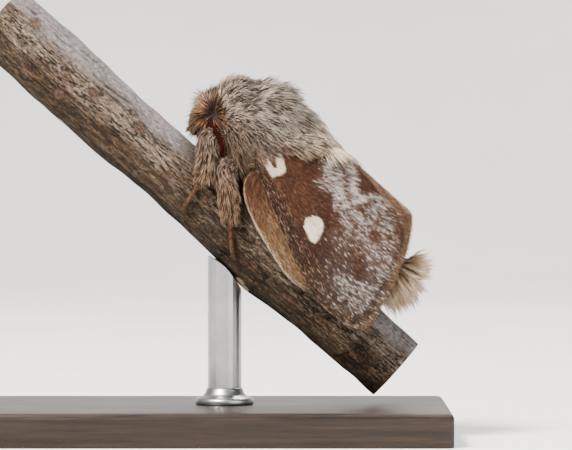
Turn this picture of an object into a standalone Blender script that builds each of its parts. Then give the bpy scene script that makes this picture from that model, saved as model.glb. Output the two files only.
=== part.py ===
"""A small eggar moth at rest on a cut length of twig, life-size, held up by a plain display stand.

The moth and its twig are laid out along the twig in millimetres: +X runs from head to tail, +Z away from the
twig's axis through the moth's back, and -Y is the moth's left side. An empty then leans all of it to the
twig's slope. The origin is the middle of the underside of the stand's base, with +Z up.
"""

import math

import bmesh
import bpy
import numpy as np
from mathutils import Matrix, Vector

MM = 0.001
GAP = 0.3
SEED = 9
SIDES = {"left": -1, "right": 1}

# The stand and the slope of the twig
SLOPE = math.radians(41.5)
BASE_SIZE = (43.0, 26.0, 3.0)
BASE_EDGE = 0.5
TWIG_ORIGIN = (4.45, 0.0, 17.1)
ROD_RADIUS = 1.5
ROD_ALONG_TWIG = -3.9

# The twig
TWIG_START, TWIG_END = -30.8, 16.5
TWIG_RADIUS = 3.2
TWIG_SIDES = 20

# The roof of wings: an elliptic arch over the twig, as wide at its foot as ROOF_WIDTHS says
ROOF_FOOT = -0.6
ROOF_RISE = 11.7
ROOF_WIDTHS = [(-7.0, 4.7), (-5.0, 4.85), (0.0, 5.3), (6.0, 5.6), (13.0, 5.7)]
WING_THICK = 0.5
HINDWING_DEPTH = WING_THICK + GAP
RIDGE_GAP = 0.2
WING_ROOT = -5.6
WING_SHOULDER = 8.6

# The soft body: cores that the coat's locks grow from, each a few ellipsoids given from the form's centre
COAT = 1.05
THORAX_CENTRE = np.array((-6.2, 0.0, 7.6))
THORAX_ROUNDS = [
    ((0.2, 0.0, -0.2), (3.6, 3.35, 4.0)),
    ((-3.0, 0.0, 0.8), (1.9, 2.7, 1.9)),
    ((2.6, 0.0, 1.9), (2.6, 2.0, 1.9)),
]
THORAX_LOCK = {"length": 2.7, "width": 1.2, "thick": 0.5, "spacing": 1.38}

HEAD_COAT = 0.6
HEAD_CENTRE = THORAX_CENTRE + np.array((-4.3, 0.0, -1.9))
HEAD_ROUNDS = [((0.0, 0.0, 0.1), (1.5, 1.7, 1.7)), ((-0.6, 0.0, -0.5), (0.9, 1.1, 1.2))]
HEAD_LOCK = {"length": 1.5, "width": 1.0, "thick": 0.4, "spacing": 1.15}
EYE_RADIUS = 0.75
EYE_OFFSET = np.array((-0.05, 1.35, -0.85))
WHORL_OFFSET = np.array((-0.2, 1.9, 0.6))
WHORL_SPREAD = 3.5
SWEEP = np.array((1.0, 0.0, -0.15))

ABDOMEN_CENTRE = THORAX_CENTRE + np.array((10.2, 0.0, -1.1))
ABDOMEN_ROUNDS = [((-3.1, 0.0, 0.0), (3.6, 2.4, 2.35)), ((2.6, 0.0, -0.1), (3.8, 2.35, 2.2))]

TUFT_CENTRE = ABDOMEN_CENTRE + np.array((7.1, 0.0, -0.1))
TUFT_ROUNDS = [((0.0, 0.0, 0.0), (1.1, 1.7, 1.8))]
TUFT_REACH = 2.75
TUFT_WIDE = 3.35
TUFT_SPLAY = 0.62
TUFT_LOCK = {"width": 1.5, "thick": 0.6}
TUFT_RINGS = [(0.0, 1), (28.0, 5), (58.0, 9), (88.0, 12)]

LEG_COAT = 0.55
LEG_LOCK = {"length": 2.0, "width": 1.1, "thick": 0.4}
TARSUS_RADIUS = 0.25


def clear_scene():
    for obj in list(bpy.data.objects):
        bpy.data.objects.remove(obj)


def make_collection(name, hidden=False):
    made = bpy.data.collections.new(name)
    bpy.context.scene.collection.children.link(made)
    made.hide_render = hidden
    return made


def make_material(name, colour, roughness, metallic=0.0):
    material = bpy.data.materials.new(name)
    material.use_nodes = True
    shader = material.node_tree.nodes["Principled BSDF"]
    shader.inputs["Base Color"].default_value = (*colour, 1.0)
    shader.inputs["Roughness"].default_value = roughness
    shader.inputs["Metallic"].default_value = metallic
    return material


def mesh_from(bm, name):
    """A Blender mesh from a bmesh in millimetres, with its faces pointing out."""
    bmesh.ops.scale(bm, vec=Vector((MM, MM, MM)), verts=bm.verts)
    bmesh.ops.recalc_face_normals(bm, faces=bm.faces)
    mesh = bpy.data.meshes.new(name)
    bm.to_mesh(mesh)
    bm.free()
    return mesh


def unit(vector):
    return vector / np.linalg.norm(vector)


class Rounded:
    """A soft body form: several ellipsoids seen from a centre inside them all, blended into one skin."""

    BLEND = 9

    def __init__(self, centre, rounds):
        self.centre = np.array(centre)
        self.rounds = [(self.centre + np.array(c), np.array(r)) for c, r in rounds]

    def reach(self, way, grow=0.0):
        """How far the skin lies from the centre in a direction, with every radius made larger by grow."""
        total = 0.0
        for middle, radii in self.rounds:
            radii = radii + grow
            offset = (self.centre - middle) / radii
            slant = way / radii
            a = slant @ slant
            b = offset @ slant
            c = offset @ offset - 1
            root = b * b - a * c
            if root > 0:
                distance = (math.sqrt(root) - b) / a
                total += max(distance, 0.0) ** self.BLEND
        return total ** (1 / self.BLEND)

    def skin(self, way, grow=0.0):
        return self.centre + way * self.reach(way, grow)

    def normal(self, way, grow=0.0):
        """The way out of the skin, from three points of it close together."""
        across = unit(np.cross(way, (0.3, 0.5, 0.81)))
        round_ = np.cross(way, across)
        here = self.skin(way, grow)
        first = self.skin(unit(way + 0.02 * across), grow) - here
        second = self.skin(unit(way + 0.02 * round_), grow) - here
        return unit(np.cross(first, second))

    def holds(self, place, grow=0.0):
        offset = np.array(place) - self.centre
        return np.linalg.norm(offset) < self.reach(unit(offset), grow)


def ball_mesh(name, around, along, place, turn=0.0):
    """A UV sphere with its poles near the X axis, each point moved to where place() puts its direction.

    It is turned a little about two axes, so that no two forms have points in one plane.
    """
    bm = bmesh.new()
    bmesh.ops.create_uvsphere(bm, u_segments=around, v_segments=along, radius=1.0)
    twist = Matrix.Rotation(0.11 + turn, 3, "X") @ Matrix.Rotation(0.07 + 0.3 * turn, 3, "Z")
    for vert in bm.verts:
        way = unit(np.array(twist @ Vector((vert.co.z, vert.co.y, -vert.co.x))))
        vert.co = Vector(place(way))
    return mesh_from(bm, name)


def rounded_mesh(name, form, grow, around=24, along=16):
    return ball_mesh(name, around, along, lambda way: form.skin(way, grow), 0.1 * grow)


def smooth_path(points, steps):
    """Points on a smooth curve through the given ones, with steps to each stretch between two."""
    given = [np.array(p, float) for p in points]
    ends = [2 * given[0] - given[1], *given, 2 * given[-1] - given[-2]]
    path = []
    for before, start, end, after in zip(ends, ends[1:], ends[2:], ends[3:]):
        for k in range(steps):
            t = k / steps
            path.append(
                0.5
                * (
                    2 * start
                    + (end - before) * t
                    + (2 * before - 5 * start + 4 * end - after) * t**2
                    + (3 * start - before - 3 * end + after) * t**3
                )
            )
    path.append(given[-1])
    return path


def tube_mesh(name, path, radii, resolution=1):
    """A round tube along the path, with a radius for each of its points, as one closed mesh."""
    curve = bpy.data.curves.new(name, "CURVE")
    curve.dimensions = "3D"
    curve.bevel_depth = MM
    curve.bevel_resolution = resolution
    curve.use_fill_caps = True
    spline = curve.splines.new("POLY")
    spline.points.add(len(path) - 1)
    for point, place, radius in zip(spline.points, path, radii):
        point.co = (*[x * MM for x in place], 1.0)
        point.radius = radius
    source = bpy.data.objects.new(name, curve)
    bpy.context.scene.collection.objects.link(source)
    bpy.context.view_layer.update()
    graph = bpy.context.evaluated_depsgraph_get()
    mesh = bpy.data.meshes.new_from_object(source.evaluated_get(graph))
    bpy.data.objects.remove(source)
    bm = bmesh.new()
    bm.from_mesh(mesh)
    bmesh.ops.remove_doubles(bm, verts=bm.verts, dist=0.001 * MM)
    bmesh.ops.recalc_face_normals(bm, faces=bm.faces)
    bm.to_mesh(mesh)
    bm.free()
    return mesh


class Lock:
    """A flat tapered lock of hair: a spine of points from root to tip, the way up at each, width and thickness."""

    FULLNESS = [0.75, 1.0, 0.95, 0.62]
    FLATNESS = [1.0, 1.0, 0.8, 0.5]

    def __init__(self, spine, ups, width, thick):
        self.spine, self.ups = [np.array(p) for p in spine], ups
        self.width, self.thick = width, thick

    def mesh(self, margin=0.0):
        """The lock as a closed mesh, diamond-shaped across. With a margin it is that much larger all round."""
        spine = list(self.spine)
        spine[0] = spine[0] - unit(spine[1] - spine[0]) * margin
        spine[-1] = spine[-1] + unit(spine[-1] - spine[-2]) * margin
        last = len(spine) - 1
        bm = bmesh.new()
        rings = []
        for k in range(last):
            share = k / max(last - 1, 1)
            width = np.interp(share, np.linspace(0, 1, 4), self.FULLNESS) * self.width / 2 + 1.4 * margin
            thick = np.interp(share, np.linspace(0, 1, 4), self.FLATNESS) * self.thick / 2 + 1.3 * margin
            run = unit(spine[k + 1] - spine[max(k - 1, 0)])
            side = unit(np.cross(run, self.ups[k]))
            up = np.cross(side, run)
            around = (side * width, up * thick, -side * width, -up * thick)
            rings.append([bm.verts.new(spine[k] + w) for w in around])
        tip = bm.verts.new(spine[-1])
        bm.faces.new(rings[0])
        for ring, after in zip(rings, rings[1:]):
            for k in range(4):
                bm.faces.new((ring[k], ring[(k + 1) % 4], after[(k + 1) % 4]))
                bm.faces.new((ring[k], after[(k + 1) % 4], after[k]))
        for k in range(4):
            bm.faces.new((rings[-1][k], rings[-1][(k + 1) % 4], tip))
        bmesh.ops.triangulate(bm, faces=bm.faces)
        return mesh_from(bm, "lock")


def coat_lie(place):
    """Which way the coat lies: out from the whorl on each cheek near it, and swept back along the body."""
    lie = np.zeros(3)
    nearest = 0.0
    for side in SIDES.values():
        away = place - (HEAD_CENTRE + WHORL_OFFSET * (1, side, 1))
        distance = np.linalg.norm(away)
        weight = math.exp(-((distance / WHORL_SPREAD) ** 2))
        lie += weight * away / (distance + 0.2)
        nearest = max(nearest, weight)
    return lie + (1 - nearest) * SWEEP


def spread_roots(form, spacing, allowed, rng):
    """Directions of roots spread over the form, none closer to another than the spacing."""
    count = 4000
    found, places = [], []
    for k in rng.permutation(count):
        height = 1 - 2 * (k + 0.5) / count
        turn = k * math.pi * (3 - math.sqrt(5))
        flat = math.sqrt(1 - height * height)
        way = np.array((flat * math.cos(turn), flat * math.sin(turn), height))
        place = form.skin(way)
        if not allowed(place):
            continue
        if places and np.min(np.linalg.norm(np.array(places) - place, axis=1)) < spacing:
            continue
        found.append(way)
        places.append(place)
    return found


def coat_locks(form, coat, sizes, allowed, rng):
    """Overlapping locks over the form: each leaves the core, rises along the lie, and ends at the coat's top."""
    locks = []
    for way in spread_roots(form, sizes["spacing"], allowed, rng):
        length = sizes["length"] * rng.uniform(0.85, 1.15)
        rise = coat * rng.uniform(0.9, 1.08)
        turn = rng.normal(0.0, 0.1)
        spine, ups = [], []
        for height in (-0.35, 0.45, 0.85, 1.0):
            grow = height * rise
            place, up = form.skin(way, grow), form.normal(way, grow)
            lie = coat_lie(place)
            lie = unit(lie - up * (lie @ up))
            lie = lie * math.cos(turn) + np.cross(up, lie) * math.sin(turn)
            spine.append(place)
            ups.append(up)
            way = unit(place + lie * length / 3 - form.centre)
        locks.append(Lock(spine, ups, sizes["width"] * rng.uniform(0.88, 1.12), sizes["thick"]))
    return locks


def largest_surface(mesh):
    """Drops every closed surface of the mesh but the one that holds the most."""
    bm = bmesh.new()
    bm.from_mesh(mesh)
    bmesh.ops.triangulate(bm, faces=bm.faces)
    left = set(bm.verts)
    found = []
    while left:
        group, edge = set(), [left.pop()]
        while edge:
            vert = edge.pop()
            group.add(vert)
            near = {e.other_vert(vert) for e in vert.link_edges} & left
            left -= near
            edge += near
        faces = {f for v in group for f in v.link_faces}
        volume = sum(f.verts[0].co.dot(f.verts[1].co.cross(f.verts[2].co)) for f in faces)
        found.append((volume, group))
    best = max(found, key=lambda item: item[0])[1]
    bmesh.ops.delete(bm, geom=[v for v in bm.verts if v not in best], context="VERTS")
    bm.to_mesh(mesh)
    bm.free()


def combine(name, core, joined=(), locks=(), clear_locks_of=(), cut_by=()):
    """One closed mesh: the core, the joined meshes and the locks, less what the cutters take away.

    The locks alone are cut clear of clear_locks_of first, and then the whole is cut by cut_by.
    """
    made = []

    def step(obj, operation, meshes):
        if not meshes:
            return
        group = make_collection(name + "_pieces", hidden=True)
        for mesh in meshes:
            piece = bpy.data.objects.new(name + "_piece", mesh)
            group.objects.link(piece)
            made.append(piece)
        modifier = obj.modifiers.new(operation.lower(), "BOOLEAN")
        modifier.operation = operation
        modifier.solver = "MANIFOLD"
        modifier.operand_type = "COLLECTION"
        modifier.collection = group

    def worked(mesh, steps):
        obj = bpy.data.objects.new(name + "_work", mesh)
        bpy.context.scene.collection.objects.link(obj)
        made.append(obj)
        for operation, meshes in steps:
            step(obj, operation, meshes)
        bpy.context.view_layer.update()
        graph = bpy.context.evaluated_depsgraph_get()
        return bpy.data.meshes.new_from_object(obj.evaluated_get(graph))

    joined = list(joined)
    if locks:
        joined.append(worked(locks[0], [("UNION", locks[1:]), ("DIFFERENCE", clear_locks_of)]))
    mesh = worked(core, [("UNION", joined), ("DIFFERENCE", cut_by)])
    largest_surface(mesh)
    for obj in made:
        bpy.data.objects.remove(obj)
    for group in [c for c in bpy.data.collections if c.name.startswith(name + "_pieces")]:
        bpy.data.collections.remove(group)
    mesh.name = name
    return mesh


# The roof of wings

def roof_width(x):
    xs, widths = zip(*ROOF_WIDTHS)
    return float(np.interp(x, xs, widths))


def rise_angle(z):
    """How far up the arch a height lies: 0 at the foot and a quarter turn at the ridge."""
    return math.asin(max(-1.0, min(1.0, (z - ROOF_FOOT) / ROOF_RISE)))


def roof_point(x, angle, side):
    return np.array((x, side * roof_width(x) * math.cos(angle), ROOF_FOOT + ROOF_RISE * math.sin(angle)))


def roof_normal(x, angle, side):
    width = roof_width(x)
    return unit(np.array((0.0, side * math.cos(angle) / width, math.sin(angle) / ROOF_RISE)))


RIDGE_ANGLE = math.acos(RIDGE_GAP / 5.4)


def edge_curve(points):
    """A smooth curve through (x, z) points, as a function of a share of its length."""
    path = np.array(smooth_path([(x, rise_angle(z) * ROOF_RISE) for x, z in points], 8))
    lengths = np.concatenate([[0], np.cumsum(np.linalg.norm(np.diff(path, axis=0), axis=1))])
    lengths /= lengths[-1]

    def at(share):
        return np.array([np.interp(share, lengths, path[:, k]) for k in (0, 1)])

    return at


class WingForm:
    """A wing's outline on the roof. along runs from root to outer edge, across from leading to trailing edge."""

    def __init__(self, leading, trailing, root, outer, depth=0.0, lip=0.0):
        self.leading, self.trailing = edge_curve(leading), edge_curve(trailing)
        self.root, self.outer = edge_curve(root), edge_curve(outer)
        self.depth = depth
        self.lip = lip

    def place(self, along, across):
        corners = [self.leading(0), self.leading(1), self.trailing(0), self.trailing(1)]
        flat = (
            (1 - across) * self.leading(along)
            + across * self.trailing(along)
            + (1 - along) * self.root(across)
            + along * self.outer(across)
            - (1 - along) * (1 - across) * corners[0]
            - along * (1 - across) * corners[1]
            - (1 - along) * across * corners[2]
            - along * across * corners[3]
        )
        return flat[0], min(flat[1] / ROOF_RISE, RIDGE_ANGLE)

    def point(self, along, across, side):
        x, angle = self.place(along, across)
        curl = self.lip * max(0.0, (along - 0.8) / 0.2) ** 2 * max(0.0, 1 - across / 0.2) ** 2
        return roof_point(x, angle, side) + roof_normal(x, angle, side) * (curl - self.depth)

    def normal(self, along, across, side):
        x, angle = self.place(along, across)
        return roof_normal(x, angle, side)


FOREWING = WingForm(
    leading=[(-5.8, 6.2), (-4.6, 5.1), (-1.6, 3.7), (2.4, 1.76), (6.0, 0.4), (8.4, -0.05), (10.6, 0.1)],
    trailing=[(-5.2, 8.6), (-2.4, 10.15), (0.2, 10.9), (2.0, 11.1), (5.0, 11.1), (7.9, 11.08)],
    root=[(-5.8, 6.2), (-5.9, 7.4), (-5.2, 8.6)],
    outer=[(10.6, 0.1), (11.8, 1.2), (11.5, 3.6), (10.75, 6.2), (10.2, 8.0), (9.2, 9.9), (7.9, 11.08)],
    lip=0.35,
)
HINDWING = WingForm(
    leading=[(-3.9, 5.6), (-4.7, 4.4), (-4.2, 3.1), (-2.4, 1.9), (0.6, 0.75), (4.0, -0.1), (6.4, 0.2)],
    trailing=[(-2.4, 7.2), (0.5, 8.0), (4.0, 8.2), (7.6, 7.6)],
    root=[(-3.9, 5.6), (-3.4, 6.5), (-2.4, 7.2)],
    outer=[(6.4, 0.2), (8.2, 2.0), (8.8, 4.6), (7.6, 7.6)],
    depth=HINDWING_DEPTH,
)
FOREWING_VEINS = [0.07, 0.19, 0.3, 0.42, 0.54, 0.66, 0.78, 0.9]
HINDWING_VEINS = [0.12, 0.32, 0.52, 0.72, 0.88]
FOREWING_STEMS = (0.07, 0.3, 0.66, 0.9)
HINDWING_STEMS = (0.12, 0.52, 0.88)
CELL_END = 0.45
VEIN_WIDE = 0.018
VEIN_HIGH = 0.16


def wing_columns(veins):
    """Where the sheet's lines run across the wing: both edges, and the foot, crest and foot of each vein."""
    columns = [(0.0, None), (1.0, None)]
    for vein in veins:
        columns += [(vein - VEIN_WIDE, None), (vein, vein), (vein + VEIN_WIDE, None)]
    return sorted(columns, key=lambda c: c[0])


def vein_height(vein, along, stems):
    if vein is None or along < 0.02 or along > 0.985:
        return 0.0
    if vein in stems:
        return VEIN_HIGH
    return VEIN_HIGH * max(0.0, min(1.0, (along - CELL_END) / 0.12))


def sheet_mesh(name, outer, inner):
    """A closed sheet between two grids of points, split into triangles alike on both faces."""
    rows, columns = len(outer), len(outer[0])
    bm = bmesh.new()
    top = [[bm.verts.new(p) for p in row] for row in outer]
    low = [[bm.verts.new(p) for p in row] for row in inner]
    for i in range(rows - 1):
        for j in range(columns - 1):
            for grid, turn in ((top, 1), (low, -1)):
                a, b, c, d = grid[i][j], grid[i + 1][j], grid[i + 1][j + 1], grid[i][j + 1]
                bm.faces.new((a, b, c)[::turn])
                bm.faces.new((a, c, d)[::turn])
    rim = [(i, 0) for i in range(rows)]
    rim += [(rows - 1, j) for j in range(1, columns)]
    rim += [(i, columns - 1) for i in range(rows - 2, -1, -1)]
    rim += [(0, j) for j in range(columns - 2, 0, -1)]
    for (i, j), (k, m) in zip(rim, rim[1:] + rim[:1]):
        bm.faces.new((top[i][j], low[i][j], low[k][m]))
        bm.faces.new((top[i][j], low[k][m], top[k][m]))
    return mesh_from(bm, name)


def wing_mesh(name, form, side, veins, stems, rows, margin=0.0):
    """One wing as a closed sheet. With a margin it is a plain sheet that much larger all round."""
    columns = wing_columns(veins)
    alongs = np.linspace(0, 1, rows)
    middle = [[form.point(a, c, side) for c, _ in columns] for a in alongs]
    normals = [[form.normal(a, c, side) for c, _ in columns] for a in alongs]
    half = WING_THICK / 2 + margin
    if margin:
        middle = grown_edges(middle, margin)
    outer, inner = [], []
    for i, along in enumerate(alongs):
        heights = [0.0 if margin else vein_height(vein, along, stems) for _, vein in columns]
        outer.append([p + n * (half + h) for p, n, h in zip(middle[i], normals[i], heights)])
        inner.append([p - n * half for p, n in zip(middle[i], normals[i])])
    return sheet_mesh(name, outer, inner)


def grown_edges(grid, margin):
    """The grid with each of its four edges moved out by the margin."""
    grid = [[p.copy() for p in row] for row in grid]
    for row in grid:
        row[0] += unit(row[0] - row[1]) * margin
        row[-1] += unit(row[-1] - row[-2]) * margin
    for j in range(len(grid[0])):
        grid[0][j] += unit(grid[0][j] - grid[1][j]) * margin
        grid[-1][j] += unit(grid[-1][j] - grid[-2][j]) * margin
    return grid


def forewing(side, margin=0.0):
    return wing_mesh("forewing", FOREWING, side, FOREWING_VEINS, FOREWING_STEMS, 11, margin)


def hindwing(side, margin=0.0):
    return wing_mesh("hindwing", HINDWING, side, HINDWING_VEINS, HINDWING_STEMS, 8, margin)


# The twig

def twig_radius(x, angle):
    """The twig's radius at a place along and round it, with its knots and long shallow furrows."""
    radius = TWIG_RADIUS + 0.12 * math.sin(x * 0.23 + 1.0) + 0.06 * math.sin(3 * angle + x * 0.35)
    for knot_x, knot_angle, size, height in TWIG_KNOTS:
        turn = math.remainder(angle - knot_angle, 2 * math.pi) * TWIG_RADIUS
        radius += height * math.exp(-(((x - knot_x) / size) ** 2) - (turn / size) ** 2)
    return radius


TWIG_KNOTS = [(1.4, -1.9, 2.0, 0.35), (-24.0, 2.4, 1.8, 0.3), (12.5, -0.6, 1.6, 0.25), (-16.0, -1.6, 1.5, 0.2)]


def twig_mesh(name, margin=0.0):
    """The twig. Round it, the angle starts at its near side and passes over the top."""
    stations = np.linspace(TWIG_START, TWIG_END, 27)
    stations[0] -= margin
    stations[-1] += margin
    mesh = tube_mesh(name, [(x, 0, 0) for x in stations], [1.0] * len(stations), TWIG_SIDES // 2 - 2)
    for vert in mesh.vertices:
        x, y, z = vert.co / MM
        angle = math.atan2(z, -y)
        radius = twig_radius(x, angle) + margin
        vert.co = Vector((x, -radius * math.cos(angle), radius * math.sin(angle))) * MM
    return mesh


# The legs, antennae and palps: paths for the side at +Y, from the body outwards, each point with its radius.
# Points of the body are given from THORAX_CENTRE or HEAD_CENTRE. A foot is given along and round the twig, in
# millimetres and in degrees above its side.

LEGS = {
    "foreleg": {
        "thigh_and_shin": [
            ((-2.0, 1.4, -2.4), 0.6),
            ((-3.2, 2.4, -2.9), 0.6),
            ((-3.4, 3.1, -3.5), 0.58),
            ((-2.6, 3.6, -4.7), 0.52),
            ((-1.5, 3.85, -6.1), 0.36),
        ],
        "foot": [(-7.5, 5.0), (-7.3, -13.0), (-7.15, -32.0)],
        "hair_from": 1.0,
        "hair_rows": 3,
    },
    "midleg": {
        "thigh_and_shin": [
            ((0.0, 1.8, -3.0), 0.6),
            ((-0.7, 3.0, -3.4), 0.6),
            ((-0.7, 3.65, -4.3), 0.6),
            ((0.8, 3.95, -5.6), 0.58),
            ((2.5, 4.0, -7.0), 0.42),
        ],
        "foot": [(-2.9, -4.0), (-2.1, -18.0), (-1.2, -33.0)],
        "hair_from": 1.2,
        "hair_rows": 4,
    },
    "hindleg": {
        "thigh_and_shin": [
            ((1.8, 1.6, -3.2), 0.5),
            ((3.0, 2.6, -3.6), 0.5),
            ((4.6, 2.95, -4.3), 0.5),
            ((6.6, 2.9, -4.65), 0.4),
        ],
        "foot": [(2.2, 44.0), (3.6, 44.0), (5.2, 44.0)],
        "hair_from": 2.6,
        "hair_rows": 1,
    },
}
ANTENNA = [
    ((-0.2, 1.5, 0.1), 0.25),
    ((-0.1, 2.25, 0.0), 0.25),
    ((0.5, 3.05, -0.3), 0.25),
    ((1.3, 3.75, -0.45), 0.25),
    ((2.3, 4.35, -0.75), 0.25),
    ((3.0, 4.8, -1.35), 0.22),
    ((3.5, 5.0, -2.1), 0.15),
]
COMB = {"from": 1.3, "teeth": 7, "spacing": 0.7, "length": 0.75, "width": 0.4, "thick": 0.4}
PALP = [
    ((-0.5, 0.5, -0.6), 0.45),
    ((-0.9, 0.55, -1.4), 0.45),
    ((-1.0, 0.55, -1.9), 0.35),
    ((-1.0, 0.55, -2.25), 0.2),
]


def mirrored(points, side):
    return [(np.array(p) * (1, side, 1), radius) for p, radius in points]


def leg_points(leg, side):
    points = [(THORAX_CENTRE + p, radius) for p, radius in leg["thigh_and_shin"]]
    for x, degrees in leg["foot"]:
        angle = math.radians(degrees)
        reach = twig_radius(x, math.radians(180 - degrees)) + TARSUS_RADIUS + GAP
        points.append((np.array((x, reach * math.cos(angle), reach * math.sin(angle))), TARSUS_RADIUS))
    return mirrored(points, side)


def head_points(points, side):
    return mirrored([(HEAD_CENTRE + p, radius) for p, radius in points], side)


class Limb:
    """A leg or feeler: a smooth path with a radius along it, that locks or teeth can be set on."""

    STEPS = 2

    def __init__(self, points):
        places, radii = zip(*points)
        self.path = np.array(smooth_path(places, self.STEPS))
        self.radii = np.interp(np.linspace(0, len(radii) - 1, len(self.path)), range(len(radii)), radii)
        steps = np.linalg.norm(np.diff(self.path, axis=0), axis=1)
        self.lengths = np.concatenate([[0], np.cumsum(steps)])

    def at(self, length):
        return np.array([np.interp(length, self.lengths, self.path[:, k]) for k in range(3)])

    def radius(self, length):
        return float(np.interp(length, self.lengths, self.radii))

    def around(self, length):
        """Two ways square to the limb: one as near as can be to outwards from the body, one square to both."""
        run = unit(self.at(length + 0.1) - self.at(length - 0.1))
        out = np.array((0.0, math.copysign(1.0, self.at(length)[1]), 0.35))
        out = unit(out - run * (out @ run))
        return out, np.cross(run, out)

    def mesh(self, margin=0.0, resolution=1):
        path = self.path.copy()
        path[-1] = path[-1] + unit(path[-1] - path[-2]) * margin
        return tube_mesh("limb", path, self.radii + margin, resolution)


def leg_locks(limb, leg, rng):
    """Rows of locks round the thigh and shin that hang along the leg towards the foot."""
    locks = []
    start = leg["hair_from"]
    ankle = limb.lengths[Limb.STEPS * (len(leg["thigh_and_shin"]) - 1)]
    for row in range(leg["hair_rows"]):
        root = start + (ankle - 0.3 - start) * row / max(leg["hair_rows"] - 1, 1)
        for turn in (-90, -10, 70):
            angle = math.radians(turn + 40 * (row % 2) + rng.uniform(-8, 8))
            length = LEG_LOCK["length"] * rng.uniform(0.85, 1.15)
            spine, ups = [], []
            for share, height in ((0.0, -0.55), (0.33, 0.35), (0.66, 0.85), (1.0, 1.0)):
                here = min(root + share * length, limb.lengths[-1] - 0.2)
                out, across = limb.around(here)
                up = out * math.cos(angle) + across * math.sin(angle)
                spine.append(limb.at(here) + up * (limb.radius(root) + height * LEG_COAT))
                ups.append(up)
            locks.append(Lock(spine, ups, LEG_LOCK["width"], LEG_LOCK["thick"]))
    return locks


def comb_teeth(limb):
    """The antenna's short side branches, two at each step along it."""
    teeth = []
    for k in range(COMB["teeth"]):
        root = COMB["from"] + k * COMB["spacing"]
        out, across = limb.around(root)
        run = unit(limb.at(root + 0.1) - limb.at(root - 0.1))
        for way in (1, -1):
            lean = unit(across * way + 0.35 * run + 0.25 * out)
            length = COMB["length"] * (1 - 0.35 * k / COMB["teeth"])
            start = limb.at(root + 0.1 * way)
            spine = [start - 0.12 * lean, start + length * lean]
            teeth.append(Lock(spine, [out] * 2, COMB["width"], COMB["thick"]))
    return teeth


# The soft body

THORAX = Rounded(THORAX_CENTRE, THORAX_ROUNDS)
HEAD = Rounded(HEAD_CENTRE, HEAD_ROUNDS)
ABDOMEN = Rounded(ABDOMEN_CENTRE, ABDOMEN_ROUNDS)
TUFT = Rounded(TUFT_CENTRE, TUFT_ROUNDS)


def eye_mesh(side, margin=0.0):
    middle = HEAD_CENTRE + EYE_OFFSET * (1, side, 1)
    return ball_mesh("eye", 10, 8, lambda way: middle + way * (EYE_RADIUS + margin), 0.05 * side)


def thorax_locks(rng):
    def allowed(place):
        x, _, z = place
        clear_of_head = not HEAD.holds(place, 0.5 * HEAD_COAT)
        seen = x < WING_ROOT - 0.3 or z > WING_SHOULDER
        return z > 4.0 and clear_of_head and seen

    return coat_locks(THORAX, COAT, THORAX_LOCK, allowed, rng)


def head_locks(rng):
    def allowed(place):
        eyes = [HEAD_CENTRE + EYE_OFFSET * (1, side, 1) for side in SIDES.values()]
        clear_of_eyes = min(np.linalg.norm(place - eye) for eye in eyes) > EYE_RADIUS + 0.3
        return place[2] > 4.3 and clear_of_eyes and not THORAX.holds(place)

    return coat_locks(HEAD, HEAD_COAT, HEAD_LOCK, allowed, rng)


def tuft_locks(rng):
    """Rings of locks that leave the tuft's core and splay out and back from the tail."""
    locks = []
    for polar, count in TUFT_RINGS:
        for k in range(count):
            turn = 2 * math.pi * (k + 0.5 * (polar > 40)) / count + rng.uniform(-0.1, 0.1)
            lean = math.radians(polar)
            across = np.array((0.0, math.cos(turn), math.sin(turn)))
            way = np.array((math.cos(lean), 0, 0)) + across * math.sin(lean)
            root = TUFT.skin(way, -0.4)
            lean *= TUFT_SPLAY * rng.uniform(0.9, 1.1)
            tip = TUFT_CENTRE + np.array((TUFT_REACH * math.cos(lean), 0, 0))
            tip = tip + across * TUFT_WIDE * math.sin(lean) * rng.uniform(0.92, 1.06)
            bend = root + way * 0.45 * np.linalg.norm(tip - root)
            shares = (0.0, 0.4, 0.75, 1.0)
            spine = [(1 - t) ** 2 * root + 2 * t * (1 - t) * bend + t * t * tip for t in shares]
            up = unit(across - np.array((0.4, 0, 0))) if polar else np.array((0.0, 0.0, 1.0))
            locks.append(Lock(spine, [up] * 4, TUFT_LOCK["width"] * rng.uniform(0.85, 1.1), TUFT_LOCK["thick"]))
    return locks


def node(name, mesh, material, parent):
    """Makes the mesh a named object that rides on the parent."""
    obj = bpy.data.objects.new(name, mesh)
    mesh.materials.clear()
    mesh.materials.append(material)
    mesh.shade_smooth()
    mesh.set_sharp_from_angle(angle=math.radians(50))
    bpy.data.collections["small_eggar_moth"].objects.link(obj)
    obj.parent = parent
    return obj


def build_wings(frame, colours):
    for word, side in SIDES.items():
        node(f"forewing_{word}", forewing(side), colours["forewing"], frame)
        node(f"hindwing_{word}", hindwing(side), colours["hindwing"], frame)


def wing_cutters():
    return [make(side, GAP) for side in SIDES.values() for make in (forewing, hindwing)]


def meshes(pieces):
    return [piece.mesh() for piece in pieces]


def grown(pieces):
    """Copies of locks, teeth or limbs made larger all round by the gap that neighbours keep."""
    return [piece.mesh(GAP) for piece in pieces]


def build_legs(frame, colours, rng):
    """The legs, in order from the front. Returns the shapes that the coat behind them has to clear."""
    shapes = []
    for word, side in SIDES.items():
        before = []
        for name, leg in LEGS.items():
            limb = Limb(leg_points(leg, side))
            locks = leg_locks(limb, leg, rng)
            cutters = [rounded_mesh("thorax", THORAX, GAP, 32, 20), twig_mesh("twig", GAP)]
            cutters += [hindwing(side, GAP), forewing(side, GAP)] + grown(before)
            mesh = combine(name, limb.mesh(), joined=meshes(locks), cut_by=cutters)
            node(f"{name}_{word}", mesh, colours["leg"], frame)
            before += [limb, *locks]
        shapes += before
    return shapes


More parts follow.
